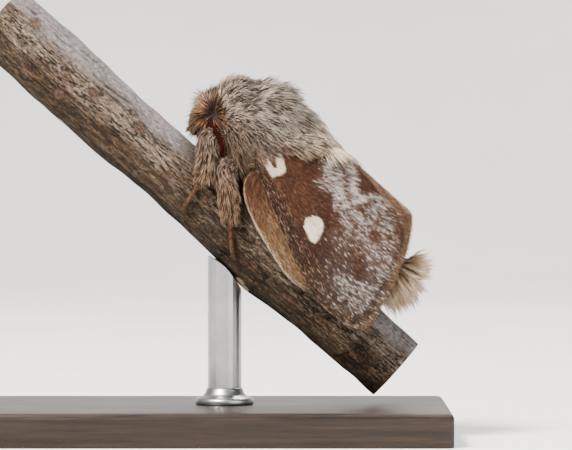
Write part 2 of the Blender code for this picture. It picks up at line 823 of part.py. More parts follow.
def build_antennae(frame, colours, legs):
    shapes = []
    for word, side in SIDES.items():
        limb = Limb(head_points(ANTENNA, side))
        teeth = comb_teeth(limb)
        mesh = combine(
            "antenna",
            limb.mesh(),
            joined=meshes(teeth),
            cut_by=[rounded_mesh("head", HEAD, GAP)] + grown(legs),
        )
        node(f"antenna_{word}", mesh, colours["antenna"], frame)
        shapes += [limb, *teeth]
    return shapes


def build_head(frame, colours, rng, outside):
    for word, side in SIDES.items():
        node(f"eye_{word}", eye_mesh(side), colours["eye"], frame)
    palps = [Limb(head_points(PALP, side)) for side in SIDES.values()]
    locks = head_locks(rng)
    mesh = combine(
        "head",
        rounded_mesh("head", HEAD, 0.0, 18, 12),
        joined=meshes(palps),
        locks=meshes(locks),
        clear_locks_of=grown(outside) + [rounded_mesh("thorax", THORAX, GAP, 24, 14)],
        cut_by=[eye_mesh(side, GAP) for side in SIDES.values()] + [twig_mesh("twig", GAP)],
    )
    node("head", mesh, colours["head"], frame)
    return locks


def build_thorax(frame, colours, rng, outside):
    extra = [rounded_mesh("abdomen", ABDOMEN, GAP)] + [eye_mesh(side, GAP) for side in SIDES.values()]
    mesh = combine(
        "thorax",
        rounded_mesh("thorax", THORAX, 0.0, 24, 14),
        locks=meshes(thorax_locks(rng)),
        clear_locks_of=extra + grown(outside),
        cut_by=wing_cutters() + [twig_mesh("twig", GAP), rounded_mesh("head", HEAD, GAP)],
    )
    node("thorax", mesh, colours["thorax"], frame)


def build_abdomen(frame, colours, rng):
    legs = [Limb(leg_points(leg, side)) for leg in LEGS.values() for side in SIDES.values()]
    cutters = [rounded_mesh("thorax", THORAX, GAP, 28, 18), twig_mesh("twig", GAP)]
    cutters += wing_cutters() + grown(legs)
    mesh = combine("abdomen", rounded_mesh("abdomen", ABDOMEN, 0.0, 20, 12), cut_by=cutters)
    node("abdomen", mesh, colours["abdomen"], frame)
    mesh = combine(
        "anal_tuft",
        rounded_mesh("tuft", TUFT, 0.0, 16, 10),
        locks=meshes(tuft_locks(rng)),
        cut_by=[rounded_mesh("abdomen", ABDOMEN, GAP), twig_mesh("twig", GAP)] + wing_cutters(),
    )
    node("anal_tuft", mesh, colours["tuft"], frame)


def build_perch(frame, colours):
    node("perch_twig", twig_mesh("perch_twig"), colours["bark"], frame)


def build_stand(frame, colours):
    length, width, thick = BASE_SIZE
    bm = bmesh.new()
    bmesh.ops.create_cube(bm, size=1.0)
    bmesh.ops.scale(bm, vec=Vector(BASE_SIZE), verts=bm.verts)
    bmesh.ops.translate(bm, vec=Vector((0, 0, thick / 2)), verts=bm.verts)
    edges = [e for e in bm.edges if (e.verts[0].co.z + e.verts[1].co.z) / 2 > 0.25 * thick]
    bmesh.ops.bevel(bm, geom=edges, offset=BASE_EDGE, segments=3, affect="EDGES", profile=0.5)
    base = mesh_from(bm, "stand_base")
    node("stand_base", base, colours["stand_base"], None)

    foot = thick + GAP
    rod_x = TWIG_ORIGIN[0] + ROD_ALONG_TWIG * math.cos(SLOPE)
    axis_z = TWIG_ORIGIN[2] - ROD_ALONG_TWIG * math.sin(SLOPE)
    bm = bmesh.new()
    bmesh.ops.create_cone(
        bm, cap_ends=True, segments=24, radius1=ROD_RADIUS, radius2=ROD_RADIUS, depth=axis_z - foot
    )
    bmesh.ops.translate(bm, vec=Vector((rod_x, 0, (axis_z + foot) / 2)), verts=bm.verts)
    cutter = twig_mesh("twig", GAP)
    cutter.transform(frame.matrix_world)
    node("stand_rod", combine("stand_rod", mesh_from(bm, "rod"), cut_by=[cutter]), colours["stand_rod"], None)


def make_colours():
    """Each material's colour, roughness and metallic value, as the moth and its perch show them."""
    looks = {
        "forewing": ((0.15, 0.075, 0.045), 0.75),
        "hindwing": ((0.32, 0.2, 0.11), 0.8),
        "thorax": ((0.27, 0.22, 0.18), 0.9),
        "head": ((0.24, 0.16, 0.1), 0.9),
        "abdomen": ((0.38, 0.31, 0.24), 0.9),
        "tuft": ((0.48, 0.41, 0.33), 0.9),
        "leg": ((0.2, 0.11, 0.07), 0.8),
        "antenna": ((0.11, 0.03, 0.015), 0.6),
        "eye": ((0.015, 0.012, 0.01), 0.2),
        "bark": ((0.2, 0.16, 0.14), 0.9),
        "stand_base": ((0.05, 0.045, 0.04), 0.45),
        "stand_rod": ((0.6, 0.6, 0.6), 0.3),
    }
    colours = {name: make_material(name, *look) for name, look in looks.items()}
    metal = colours["stand_rod"].node_tree.nodes["Principled BSDF"]
    metal.inputs["Metallic"].default_value = 1.0
    return colours


def make_frame():
    frame = bpy.data.objects.new("twig_frame", None)
    bpy.data.collections["small_eggar_moth"].objects.link(frame)
    frame.location = Vector(TWIG_ORIGIN) * MM
    frame.rotation_euler = (0.0, SLOPE, 0.0)
    bpy.context.view_layer.update()
    return frame


def main():
    clear_scene()
    rng = np.random.default_rng(SEED)
    make_collection("small_eggar_moth")
    frame = make_frame()
    colours = make_colours()
    build_stand(frame, colours)
    build_perch(frame, colours)
    build_wings(frame, colours)
    legs = build_legs(frame, colours, rng)
    antennae = build_antennae(frame, colours, legs)
    head = build_head(frame, colours, rng, legs + antennae)
    build_thorax(frame, colours, rng, legs + antennae + head)
    build_abdomen(frame, colours, rng)


main()
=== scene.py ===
"""How the small eggar moth on its twig looks: a skin under its coat, scaled wings, bark and a small stand.

The moth is laid out along its twig in millimetres, as the solids are: +X runs from head to tail, +Z away
from the twig's axis through the moth's back, and -Y is the moth's left side, which the camera sees.
to_world() leans a place to the twig's slope and turns it into metres.
"""

import math

import bmesh
import bpy
import numpy as np
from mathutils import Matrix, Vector, noise
from mathutils.kdtree import KDTree

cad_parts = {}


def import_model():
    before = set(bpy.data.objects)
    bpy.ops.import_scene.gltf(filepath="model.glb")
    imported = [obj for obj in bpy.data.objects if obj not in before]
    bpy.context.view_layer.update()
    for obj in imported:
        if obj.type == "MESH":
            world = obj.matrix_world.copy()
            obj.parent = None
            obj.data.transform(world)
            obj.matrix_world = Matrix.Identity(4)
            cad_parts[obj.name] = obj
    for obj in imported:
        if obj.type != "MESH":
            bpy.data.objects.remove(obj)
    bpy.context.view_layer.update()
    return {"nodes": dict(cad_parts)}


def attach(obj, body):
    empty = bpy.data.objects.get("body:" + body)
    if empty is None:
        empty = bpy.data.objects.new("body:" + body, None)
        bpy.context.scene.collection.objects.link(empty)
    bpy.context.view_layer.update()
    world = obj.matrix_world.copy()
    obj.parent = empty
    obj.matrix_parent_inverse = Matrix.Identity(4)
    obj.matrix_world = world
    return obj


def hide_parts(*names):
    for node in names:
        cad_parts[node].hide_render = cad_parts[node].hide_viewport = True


MM = 0.001
SEED = 41
SIDES = {"left": -1, "right": 1}
FLESH = ["head", "thorax", "abdomen", "anal_tuft"] + [
    f"{leg}_{word}" for leg in ("foreleg", "midleg", "hindleg") for word in SIDES
]

# The stand and the slope of the twig
SLOPE = math.radians(41.5)
TWIG_ORIGIN = (4.45, 0.0, 17.1)
ROD_ALONG_TWIG = -3.9
BASE_TOP = 3.0

# The twig
TWIG_START, TWIG_END = -30.8, 16.5
TWIG_RADIUS = 3.2
# Knots: place along the twig, angle round it, size and height
TWIG_KNOTS = [
    (1.4, -1.9, 2.0, 0.35), (-24.0, 2.4, 1.8, 0.3), (12.5, -0.6, 1.6, 0.25), (-16.0, -1.6, 1.5, 0.2),
]

# The roof of wings
ROOF_FOOT = -0.6
ROOF_RISE = 11.7
# Places along the twig, and half the roof's width at each
ROOF_XS = (-7.0, -5.0, 0.0, 6.0, 13.0)
ROOF_WIDTHS = (4.7, 4.85, 5.3, 5.6, 5.7)
RIDGE_ANGLE = math.acos(0.2 / 5.4)
# Heights off the arch, and how far the hindwing lies under the forewing
WING_TOP = 0.22
WING_THICK = 0.18
VEIN_HIGH = 0.07
HINDWING_DEPTH = 0.8
# The half width that heights over and under the wings are set against
ROOF_HALF_WIDTH = 5.0

# The soft body
THORAX_CENTRE = np.array((-6.2, 0.0, 7.6))
HEAD_CENTRE = THORAX_CENTRE + (-4.3, 0.0, -1.9)
ABDOMEN_CENTRE = THORAX_CENTRE + (10.2, 0.0, -1.1)
TUFT_CENTRE = ABDOMEN_CENTRE + (7.1, 0.0, -0.1)
EYE_RADIUS = 0.75
EYE_OFFSET = np.array((-0.05, 1.35, -0.85))
# The whorl of hair on each cheek: its place from the head's middle, how far it turns the hair round it,
# and the size and spacing of its dense middle
WHORL_OFFSET = np.array((-0.15, 1.9, 0.5))
WHORL_REACH = 5.2
WHORL_SIZE = 0.8
WHORL_SPACING = 0.09
SKIN_VOXEL = 0.14
# The hair is the belly's under this height, and cream where its creaminess is over this
BELLY_TOP = 3.0
CREAM_FROM = 0.5
HEIGHT_UNDER_WINGS = 0.25

# Feet and feelers
TARSUS_RADIUS = 0.19
ANKLE_RADIUS = 0.24
FOOT_SEGMENTS = 5
FOOT_SIDES = 14
FOOT_HAIRS = 700
FOOT_GAP = 0.1
ANTENNA_RING = 0.19
ANTENNA_BRANCH_GAP = 0.24
ANTENNA_HAIRS = 1500


# Small helpers on arrays of places

def unit(vectors):
    return vectors / np.maximum(np.linalg.norm(vectors, axis=-1, keepdims=True), 1e-9)


def dot(a, b):
    return (a * b).sum(-1, keepdims=True)


def smooth_step(low, high, x):
    t = np.clip((x - low) / (high - low), 0, 1)
    return t * t * (3 - 2 * t)


def field(points, scale=1.0, shift=0.0):
    """Smooth noise from about -1 to 1 at each place, with the scale in waves per millimetre."""
    return np.array([noise.noise(p) for p in (np.asarray(points) * scale + shift).tolist()])


def to_world(points):
    """Places along the twig as places in the world."""
    x, y, z = np.asarray(points, float).T
    c, s = math.cos(SLOPE), math.sin(SLOPE)
    return np.stack([TWIG_ORIGIN[0] + c * x + s * z, y, TWIG_ORIGIN[2] - s * x + c * z], 1) * MM


def swung(first, second, angle):
    """The way at an angle from the first of two ways that stand square to each other."""
    return first * np.cos(angle) + second * np.sin(angle)


def hump(x, width):
    """1 where x is 0, and less to both sides of it."""
    return np.exp(-((x / width) ** 2))


def path_lengths(path):
    """The length of the path up to each of its points."""
    return np.concatenate([[0], np.cumsum(np.linalg.norm(np.diff(path, axis=0), axis=1))])


def smooth_path(points, steps):
    """A curve through the points, with a number of steps from each to the next."""
    given = [np.array(p, float) for p in points]
    ends = [2 * given[0] - given[1], *given, 2 * given[-1] - given[-2]]
    path = []
    for before, start, end, after in zip(ends, ends[1:], ends[2:], ends[3:]):
        for k in range(steps):
            t = k / steps
            bend = (2 * before - 5 * start + 4 * end - after) * t**2
            twist = (3 * start - before - 3 * end + after) * t**3
            path.append(0.5 * (2 * start + (end - before) * t + bend + twist))
    path.append(given[-1])
    return np.array(path)


# Meshes from arrays

def face_crosses(points, faces):
    """A vector square to each face, twice as long as the face is large."""
    corners = points[faces]
    return np.cross(corners[:, 1] - corners[:, 0], corners[:, 2] - corners[:, 0])


def vertex_normals(points, faces):
    """The way out at each point, from the faces round it."""
    crosses = face_crosses(points, faces)
    total = np.zeros_like(points)
    for k in range(3):
        for axis in range(3):
            total[:, axis] += np.bincount(faces[:, k], crosses[:, axis], len(points))
    return unit(total)


def fill_mesh(mesh, points, faces):
    mesh.vertices.add(len(points))
    mesh.vertices.foreach_set("co", np.ascontiguousarray(points, np.float32).ravel())
    mesh.loops.add(faces.size)
    mesh.loops.foreach_set("vertex_index", np.ascontiguousarray(faces, np.int32).ravel())
    mesh.polygons.add(len(faces))
    mesh.polygons.foreach_set("loop_start", np.arange(0, faces.size, faces.shape[1], dtype=np.int32))
    mesh.update(calc_edges=True)


def placed(name, data):
    """A new object in the scene."""
    obj = bpy.data.objects.new(name, data)
    bpy.context.scene.collection.objects.link(obj)
    return obj


def piece(name, points, faces, material, values=None, bake=None, world=False):
    """One object of the model, from places in millimetres. values are numbers kept at each vertex."""
    mesh = bpy.data.meshes.new(name)
    fill_mesh(mesh, points * MM if world else to_world(points), faces)
    for key, numbers in {**(values or {}), "place": points}.items():
        numbers = np.ascontiguousarray(numbers, np.float32)
        kind, entry = ("FLOAT_VECTOR", "vector") if numbers.ndim == 2 else ("FLOAT", "value")
        mesh.attributes.new(key, kind, "POINT").data.foreach_set(entry, numbers.ravel())
    if bake is not None:
        layer = mesh.uv_layers.new(name="OFBake")
        layer.data.foreach_set("uv", np.ascontiguousarray(bake[faces.ravel()], np.float32).ravel())
    mesh.polygons.foreach_set("use_smooth", np.full(len(faces), True))
    mesh.materials.append(material)
    obj = placed(name, mesh)
    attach(obj, "root")
    return obj


def joined(parts):
    """Several (points, faces) as one."""
    points, faces, count = [], [], 0
    for some_points, some_faces in parts:
        points.append(some_points)
        faces.append(some_faces + count)
        count += len(some_points)
    return np.concatenate(points), np.concatenate(faces)


def ball(subdivisions):
    """Points evenly round a centre, 1 away from it, and the faces between them."""
    bm = bmesh.new()
    bmesh.ops.create_icosphere(bm, subdivisions=subdivisions, radius=1.0)
    ways = np.array([v.co[:] for v in bm.verts])
    faces = np.array([[v.index for v in f.verts] for f in bm.faces])
    bm.free()
    return ways, faces


def ring_faces(rows, sides):
    """Triangles between closed rings of points, ring after ring."""
    k = np.arange(sides)
    after = (k + 1) % sides
    faces = []
    for row in range(rows - 1):
        low, high = row * sides, (row + 1) * sides
        faces.append(np.stack([low + k, low + after, high + after], 1))
        faces.append(np.stack([low + k, high + after, high + k], 1))
    return np.concatenate(faces)


def closed_faces(rows, sides):
    """The same, closed at both ends with the two points that follow the rings."""
    k = np.arange(sides)
    after = (k + 1) % sides
    last = (rows - 1) * sides
    pole = np.full(sides, rows * sides)
    ends = [np.stack([after, k, pole], 1), np.stack([last + k, last + after, pole + 1], 1)]
    return np.concatenate([ring_faces(rows, sides), *ends])


def tube(path, radii, sides):
    """A closed round tube along the path."""
    run = unit(np.gradient(path, axis=0))
    side = unit(np.cross(run, (0.31, 0.2, 0.93)))
    up = np.cross(side, run)
    turn = np.linspace(0, 2 * math.pi, sides, endpoint=False)[None, :, None]
    rings = path[:, None] + swung(side[:, None], up[:, None], turn) * radii[:, None, None]
    points = np.concatenate([rings.reshape(-1, 3), path[:1], path[-1:]])
    return points, closed_faces(len(path), sides)


def remeshed(points, faces, voxel):
    """The outer surface of closed meshes that run into each other, as one even mesh."""
    mesh = bpy.data.meshes.new("rough")
    fill_mesh(mesh, points, faces)
    obj = placed("rough", mesh)
    modifier = obj.modifiers.new("voxels", "REMESH")
    modifier.mode = "VOXEL"
    modifier.voxel_size = voxel
    bpy.context.view_layer.update()
    made = obj.evaluated_get(bpy.context.evaluated_depsgraph_get()).to_mesh()
    made.calc_loop_triangles()
    new_points = np.zeros(len(made.vertices) * 3, np.float32)
    made.vertices.foreach_get("co", new_points)
    new_faces = np.zeros(len(made.loop_triangles) * 3, np.int32)
    made.loop_triangles.foreach_get("vertices", new_faces)
    bpy.data.objects.remove(obj)
    bpy.data.meshes.remove(mesh)
    return new_points.reshape(-1, 3).astype(float), new_faces.reshape(-1, 3)


def relaxed(points, faces, rounds):
    """Each vertex drawn halfway to the middle of its neighbours, some rounds over."""
    ends = np.concatenate([faces[:, [0, 1]], faces[:, [1, 2]], faces[:, [2, 0]]])
    count = np.bincount(ends.ravel(), minlength=len(points))[:, None]
    for _ in range(rounds):
        total = np.zeros_like(points)
        for axis in range(3):
            total[:, axis] += np.bincount(ends[:, 0], points[ends[:, 1], axis], len(points))
            total[:, axis] += np.bincount(ends[:, 1], points[ends[:, 0], axis], len(points))
        points = points + (total / count - points) * 0.5
    return points


def scatter(points, faces, normals, count, rng):
    """Places spread at random over a mesh by area, with the way out at each."""
    areas = np.linalg.norm(face_crosses(points, faces), axis=1)
    chosen = rng.choice(len(faces), count, p=areas / areas.sum())
    a, b = rng.random((2, count))
    fold = a + b > 1
    a[fold], b[fold] = 1 - a[fold], 1 - b[fold]
    shares = np.stack([1 - a - b, a, b], 1)[:, :, None]
    places = (points[faces[chosen]] * shares).sum(1)
    return places, unit((normals[faces[chosen]] * shares).sum(1))


def thinned(places, spacing):
    """Which of the places to keep so that no two are closer than the spacing."""
    tree = KDTree(len(places))
    for k, place in enumerate(places.tolist()):
        tree.insert(place, k)
    tree.balance()
    left = np.ones(len(places), bool)
    kept = []
    for k, place in enumerate(places.tolist()):
        if left[k]:
            kept.append(k)
            for _, other, _ in tree.find_range(place, spacing):
                left[other] = False
    return np.array(kept, int)


# Forms of the body

class Rounded:
    """A soft body form: several ellipsoids seen from a centre inside them all, blended into one skin."""

    BLEND = 9
    SUBDIVISIONS = 5

    def __init__(self, centre, rounds):
        self.centre = np.array(centre)
        self.rounds = [(self.centre + np.array(c), np.array(r)) for c, r in rounds]

    def reach(self, ways):
        total = np.zeros(len(ways))
        for middle, radii in self.rounds:
            offset = (self.centre - middle) / radii
            slant = ways / radii
            a = (slant * slant).sum(1)
            b = slant @ offset
            c = offset @ offset - 1
            root = b * b - a * c
            distance = np.where(root > 0, np.sqrt(np.maximum(root, 0)) - b, 0) / a
            total += np.maximum(distance, 0) ** self.BLEND
        return total ** (1 / self.BLEND)

    def skin(self, ways, grow=0.0):
        return self.centre + ways * (self.reach(ways) + grow)[:, None]

    def normal(self, ways):
        across = unit(np.cross(ways, (0.3, 0.5, 0.81)))
        round_ = np.cross(ways, across)
        here = self.skin(ways)
        first = self.skin(unit(ways + 0.02 * across)) - here
        second = self.skin(unit(ways + 0.02 * round_)) - here
        return unit(np.cross(first, second))

    def outside(self, points):
        """How far outside the skin each place is, less than 0 inside."""
        away = points - self.centre
        return np.linalg.norm(away, axis=1) - self.reach(unit(away))

    def mesh(self):
        ways, faces = ball(self.SUBDIVISIONS)
        return self.skin(ways), faces


THORAX = Rounded(
    THORAX_CENTRE,
    [((0.2, 0, -0.2), (3.6, 3.35, 4.0)), ((-3.0, 0, 0.8), (1.9, 2.7, 1.9)), ((2.6, 0, 1.9), (2.6, 2.0, 1.9))],
)
HEAD = Rounded(HEAD_CENTRE, [((0, 0, 0.1), (1.5, 1.7, 1.7)), ((-0.6, 0, -0.5), (0.9, 1.1, 1.2))])
ABDOMEN = Rounded(ABDOMEN_CENTRE, [((-3.1, 0, 0), (3.6, 2.4, 2.35)), ((2.6, 0, -0.1), (3.8, 2.35, 2.2))])
TUFT = Rounded(TUFT_CENTRE, [((0, 0, 0), (1.1, 1.7, 1.8))])


# The roof of wings

def roof_width(x):
    return np.interp(x, ROOF_XS, ROOF_WIDTHS)


def roof_point(x, angle, side, lift=0.0):
    """A place on the arch over the twig, lifted off it: angle 0 is the foot, a quarter turn the ridge."""
    width = roof_width(x)
    out = np.stack([np.zeros_like(x), side * np.cos(angle) / width, np.sin(angle) / ROOF_RISE], 1)
    flat = np.stack([x, side * width * np.cos(angle), ROOF_FOOT + ROOF_RISE * np.sin(angle)], 1)
    return flat + unit(out) * np.reshape(lift, (-1, 1))


def roof_place(points):
    """Along, angle and ratio of each place: the ratio is 1 on the arch and less under it."""
    x, y, z = points.T
    across, high = np.abs(y) / roof_width(x), (z - ROOF_FOOT) / ROOF_RISE
    return x, np.arctan2(high, across), np.hypot(across, high)


def edge_curve(points):
    """An edge of a wing, given as places along the twig and heights: its place on the roof laid flat."""
    rise = [(x, math.asin(min(1.0, (z - ROOF_FOOT) / ROOF_RISE)) * ROOF_RISE, 0) for x, z in points]
    path = smooth_path(rise, 8)[:, :2]
    lengths = path_lengths(path)
    lengths /= lengths[-1]
    return lambda share: np.stack([np.interp(share, lengths, path[:, k]) for k in (0, 1)], -1)


class WingForm:
    """A wing's outline on the roof: along runs from root to outer edge, across from leading to trailing."""

    VEIN_WIDTH = 0.016
    LIP_ALONG = 0.8
    LIP_ACROSS = 0.2

    def __init__(self, leading, trailing, root, outer, depth, lip, veins, stems):
        self.leading, self.trailing = edge_curve(leading), edge_curve(trailing)
        self.root, self.outer = edge_curve(root), edge_curve(outer)
        self.depth, self.lip, self.veins, self.stems = depth, lip, veins, stems

    def laid_flat(self, along, across):
        corners = [self.leading(0), self.leading(1), self.trailing(0), self.trailing(1)]
        a, c = np.clip(along, 0, 1)[:, None], across[:, None]
        flat = (1 - c) * self.leading(a[:, 0]) + c * self.trailing(a[:, 0])
        flat = flat + (1 - a) * self.root(across) + a * self.outer(across)
        flat = flat - (1 - a) * (1 - c) * corners[0] - a * (1 - c) * corners[1]
        flat = flat - (1 - a) * c * corners[2] - a * c * corners[3]
        return flat[:, 0], flat[:, 1] / ROOF_RISE

    def place(self, along, across):
        x, angle = self.laid_flat(along, across)
        return x, np.minimum(angle, RIDGE_ANGLE)

    def below_ridge(self, along, across):
        return self.laid_flat(along, across)[1] < RIDGE_ANGLE

    def relief(self, along, across):
        """How far the veins stand off the wing's even surface."""
        high = np.zeros(len(along))
        for vein in self.veins:
            strength = 1.0 if vein in self.stems else smooth_step(0.4, 0.55, along)
            high = np.maximum(high, strength * hump(across - vein, self.VEIN_WIDTH))
        edge = smooth_step(0, 0.05, along) * smooth_step(1, 0.94, along)
        return VEIN_HIGH * high * edge

    def point(self, along, across, side, lift=0.0):
        x, angle = self.place(along, across)
        curl = np.maximum(0, (along - self.LIP_ALONG) / (1 - self.LIP_ALONG)) ** 2
        curl = self.lip * curl * np.maximum(0, 1 - across / self.LIP_ACROSS) ** 2
        return roof_point(x, angle, side, lift + curl - self.depth)

    def frame(self, along, across, side):
        """The way out of the wing and the way along it towards its outer edge."""
        x, angle = self.place(along, across)
        out = unit(np.stack([0 * x, side * np.cos(angle) / roof_width(x), np.sin(angle) / ROOF_RISE], 1))
        back = np.where(along > 0.98, -0.01, 0.01)
        run = self.point(along + back, across, side) - self.point(along, across, side)
        run = run * np.sign(back)[:, None]
        return out, unit(run - out * dot(run, out))

    def outline(self):
        share = np.linspace(0, 1, 25)
        low, high = 0 * share, 0 * share + 1
        ends = [(share, low), (high, share), (share[::-1], high), (low, share[::-1])]
        return np.concatenate([np.stack(self.place(a, c), 1) for a, c in ends])


FOREWING = WingForm(
    leading=[(-5.8, 6.2), (-4.6, 5.1), (-1.6, 3.7), (2.4, 1.76), (6.0, 0.4), (8.4, -0.05), (10.6, 0.1)],
    trailing=[(-5.2, 8.6), (-2.4, 10.15), (0.2, 10.9), (2.0, 11.1), (5.0, 11.1), (7.9, 11.08)],
    root=[(-5.8, 6.2), (-5.9, 7.4), (-5.2, 8.6)],
    outer=[(10.6, 0.1), (11.8, 1.2), (11.5, 3.6), (10.75, 6.2), (10.2, 8.0), (9.2, 9.9), (7.9, 11.08)],
    depth=0.0,
    lip=0.35,
    veins=[0.07, 0.19, 0.3, 0.42, 0.54, 0.66, 0.78, 0.9],
    stems=(0.07, 0.3, 0.66, 0.9),
)
HINDWING = WingForm(
    leading=[(-3.9, 5.6), (-4.7, 4.4), (-4.2, 3.1), (-2.4, 1.9), (0.6, 0.75), (4.0, -0.1), (6.4, 0.2)],
    trailing=[(-2.4, 7.2), (0.5, 8.0), (4.0, 8.2), (7.6, 7.6)],
    root=[(-3.9, 5.6), (-3.4, 6.5), (-2.4, 7.2)],
    outer=[(6.4, 0.2), (8.2, 2.0), (8.8, 4.6), (7.6, 7.6)],
    depth=HINDWING_DEPTH,
    lip=0.0,
    veins=[0.12, 0.32, 0.52, 0.72, 0.88],
    stems=(0.12, 0.52, 0.88),
)


def covered(points):
    """Whether each place lies over or under the forewing, seen square to the roof."""
    x, angle, _ = roof_place(points)
    edge = FOREWING.outline()
    inside = np.zeros(len(points), bool)
    for (x0, a0), (x1, a1) in zip(edge, np.roll(edge, -1, axis=0)):
        if a0 == a1:
            continue
        crosses = (a0 > angle) != (a1 > angle)
        inside ^= crosses & (x < x0 + (angle - a0) * (x1 - x0) / (a1 - a0))
    return inside


def held_at_ratio(points, limited, limit):
    """Places at the wings moved in or out on the arch, as limited says, to the ratio that is the limit."""
    flat = points.reshape(-1, 3)
    x, y, z = flat.T
    ratio = roof_place(flat)[2]
    scale = np.where(covered(flat), limited(ratio, limit), ratio) / ratio
    return np.stack([x, y * scale, ROOF_FOOT + (z - ROOF_FOOT) * scale], 1).reshape(points.shape)


def under_wings(points, depth=1.25):
    """Places moved in so that they stay under the wings."""
    return held_at_ratio(points, np.minimum, 1 - depth / ROOF_HALF_WIDTH)


def over_wings(points, height=0.3):
    """Places moved out so that they stay over the wings."""
    return held_at_ratio(points, np.maximum, 1 + height / ROOF_HALF_WIDTH)


# The twig's shape

def twig_radius(x, angle):
    """The twig is a little uneven all along, with knots."""
    radius = TWIG_RADIUS + 0.12 * np.sin(x * 0.23 + 1.0) + 0.06 * np.sin(3 * angle + x * 0.35)
    for knot_x, knot_angle, size, height in TWIG_KNOTS:
        turn = np.remainder(angle - knot_angle + math.pi, 2 * math.pi) - math.pi
        radius = radius + height * hump(x - knot_x, size) * hump(turn * TWIG_RADIUS, size)
    return radius


# Legs, feelers and palps: paths for the side at +Y, each point with its radius. A foot is given as places
# along the twig and angles round it, and hair_from is the length along the shin where its own hair begins

LEGS = {
    "foreleg": {
        "shin": [
            ((-2.0, 1.4, -2.4), 0.6), ((-3.05, 2.3, -2.95), 0.58), ((-3.1, 3.0, -3.65), 0.56),
            ((-2.2, 3.5, -4.8), 0.5), ((-1.4, 3.85, -6.1), 0.36),
        ],
        "foot": [(-7.5, 5.0), (-7.3, -13.0), (-7.15, -32.0)],
        "hair_from": 0.3,
    },
    "midleg": {
        "shin": [
            ((0.0, 1.8, -3.2), 0.6), ((-0.5, 2.75, -3.85), 0.55), ((-0.4, 3.4, -4.75), 0.54),
            ((1.0, 3.9, -5.6), 0.52), ((2.5, 4.0, -7.0), 0.38),
        ],
        "foot": [(-2.9, -4.0), (-2.1, -18.0), (-1.2, -33.0)],
        "hair_from": 0.3,
    },
    "hindleg": {
        "shin": [
            ((1.8, 1.6, -3.2), 0.5), ((3.0, 2.6, -3.6), 0.5),
            ((4.6, 2.95, -4.3), 0.5), ((6.6, 2.9, -4.65), 0.4),
        ],
        "foot": [(2.2, 44.0), (3.6, 44.0), (5.2, 44.0)],
        "hair_from": 1.6,
    },
}
ANTENNA = [
    ((-0.1, 1.4, -0.1), 0.14), ((0.0, 2.1, -0.15), 0.15),
    ((0.55, 2.9, -0.35), 0.15), ((1.3, 3.55, -0.55), 0.14),
    ((2.1, 4.0, -0.9), 0.12), ((2.6, 4.15, -1.35), 0.09), ((2.9, 4.15, -1.75), 0.05),
]
PALP = [
    ((-0.45, 0.5, -0.6), 0.42), ((-0.7, 0.55, -1.2), 0.42),
    ((-0.75, 0.55, -1.5), 0.34), ((-0.7, 0.55, -1.75), 0.24),
]


class Limb:
    """A leg or feeler: a smooth path with a radius along it."""

    SIDES = 16

    def __init__(self, points, steps=6):
        places, radii = zip(*points)
        self.path = smooth_path(places, steps)
        self.radii = np.interp(np.linspace(0, len(radii) - 1, len(self.path)), range(len(radii)), radii)
        self.lengths = path_lengths(self.path)
        self.length = self.lengths[-1]

    def at(self, length):
        inner = np.stack([np.interp(length, self.lengths, self.path[:, k]) for k in range(3)], -1)
        beyond = np.maximum(np.asarray(length) - self.length, 0)
        return inner + unit(self.path[-1] - self.path[-2]) * beyond[..., None]

    def radius(self, length):
        return np.interp(length, self.lengths, self.radii)

    def around(self, length):
        """The way along, and two ways square to the limb: one nearest to outwards from the body."""
        run = unit(self.at(length + 0.05) - self.at(length - 0.05))
        out = np.array((0.0, math.copysign(1.0, self.path[len(self.path) // 2, 1]), 0.35))
        out = unit(out - run * dot(run, out))
        return run, out, np.cross(run, out)

    def nearest(self, points):
        """Length along the path nearest to each place, how far outside the limb it is, and the angle."""
        gaps = np.linalg.norm(points[:, None] - self.path[None], axis=2)
        nearest = gaps.argmin(1)
        length = self.lengths[nearest]
        run, out, across = self.around(length)
        away = points - self.path[nearest]
        length = length + (away * run).sum(1)
        angle = np.arctan2((away * across).sum(1), (away * out).sum(1))
        return length, gaps.min(1) - self.radii[nearest], angle

    def mesh(self):
        return tube(self.path, self.radii, self.SIDES)


def mirrored(points, centre, side):
    """Points given round a centre, for one side of the body."""
    return [((centre + p) * (1, side, 1), radius) for p, radius in points]


def foot_points(leg, side):
    """The foot grips the twig: its points lie a small gap off the bark."""
    places = []
    for x, degrees in leg["foot"]:
        angle = math.radians(degrees)
        reach = float(twig_radius(x, math.radians(180 - degrees))) + TARSUS_RADIUS + FOOT_GAP
        places.append(np.array((x, side * reach * math.cos(angle), reach * math.sin(angle))))
    return places


# Strands of hair

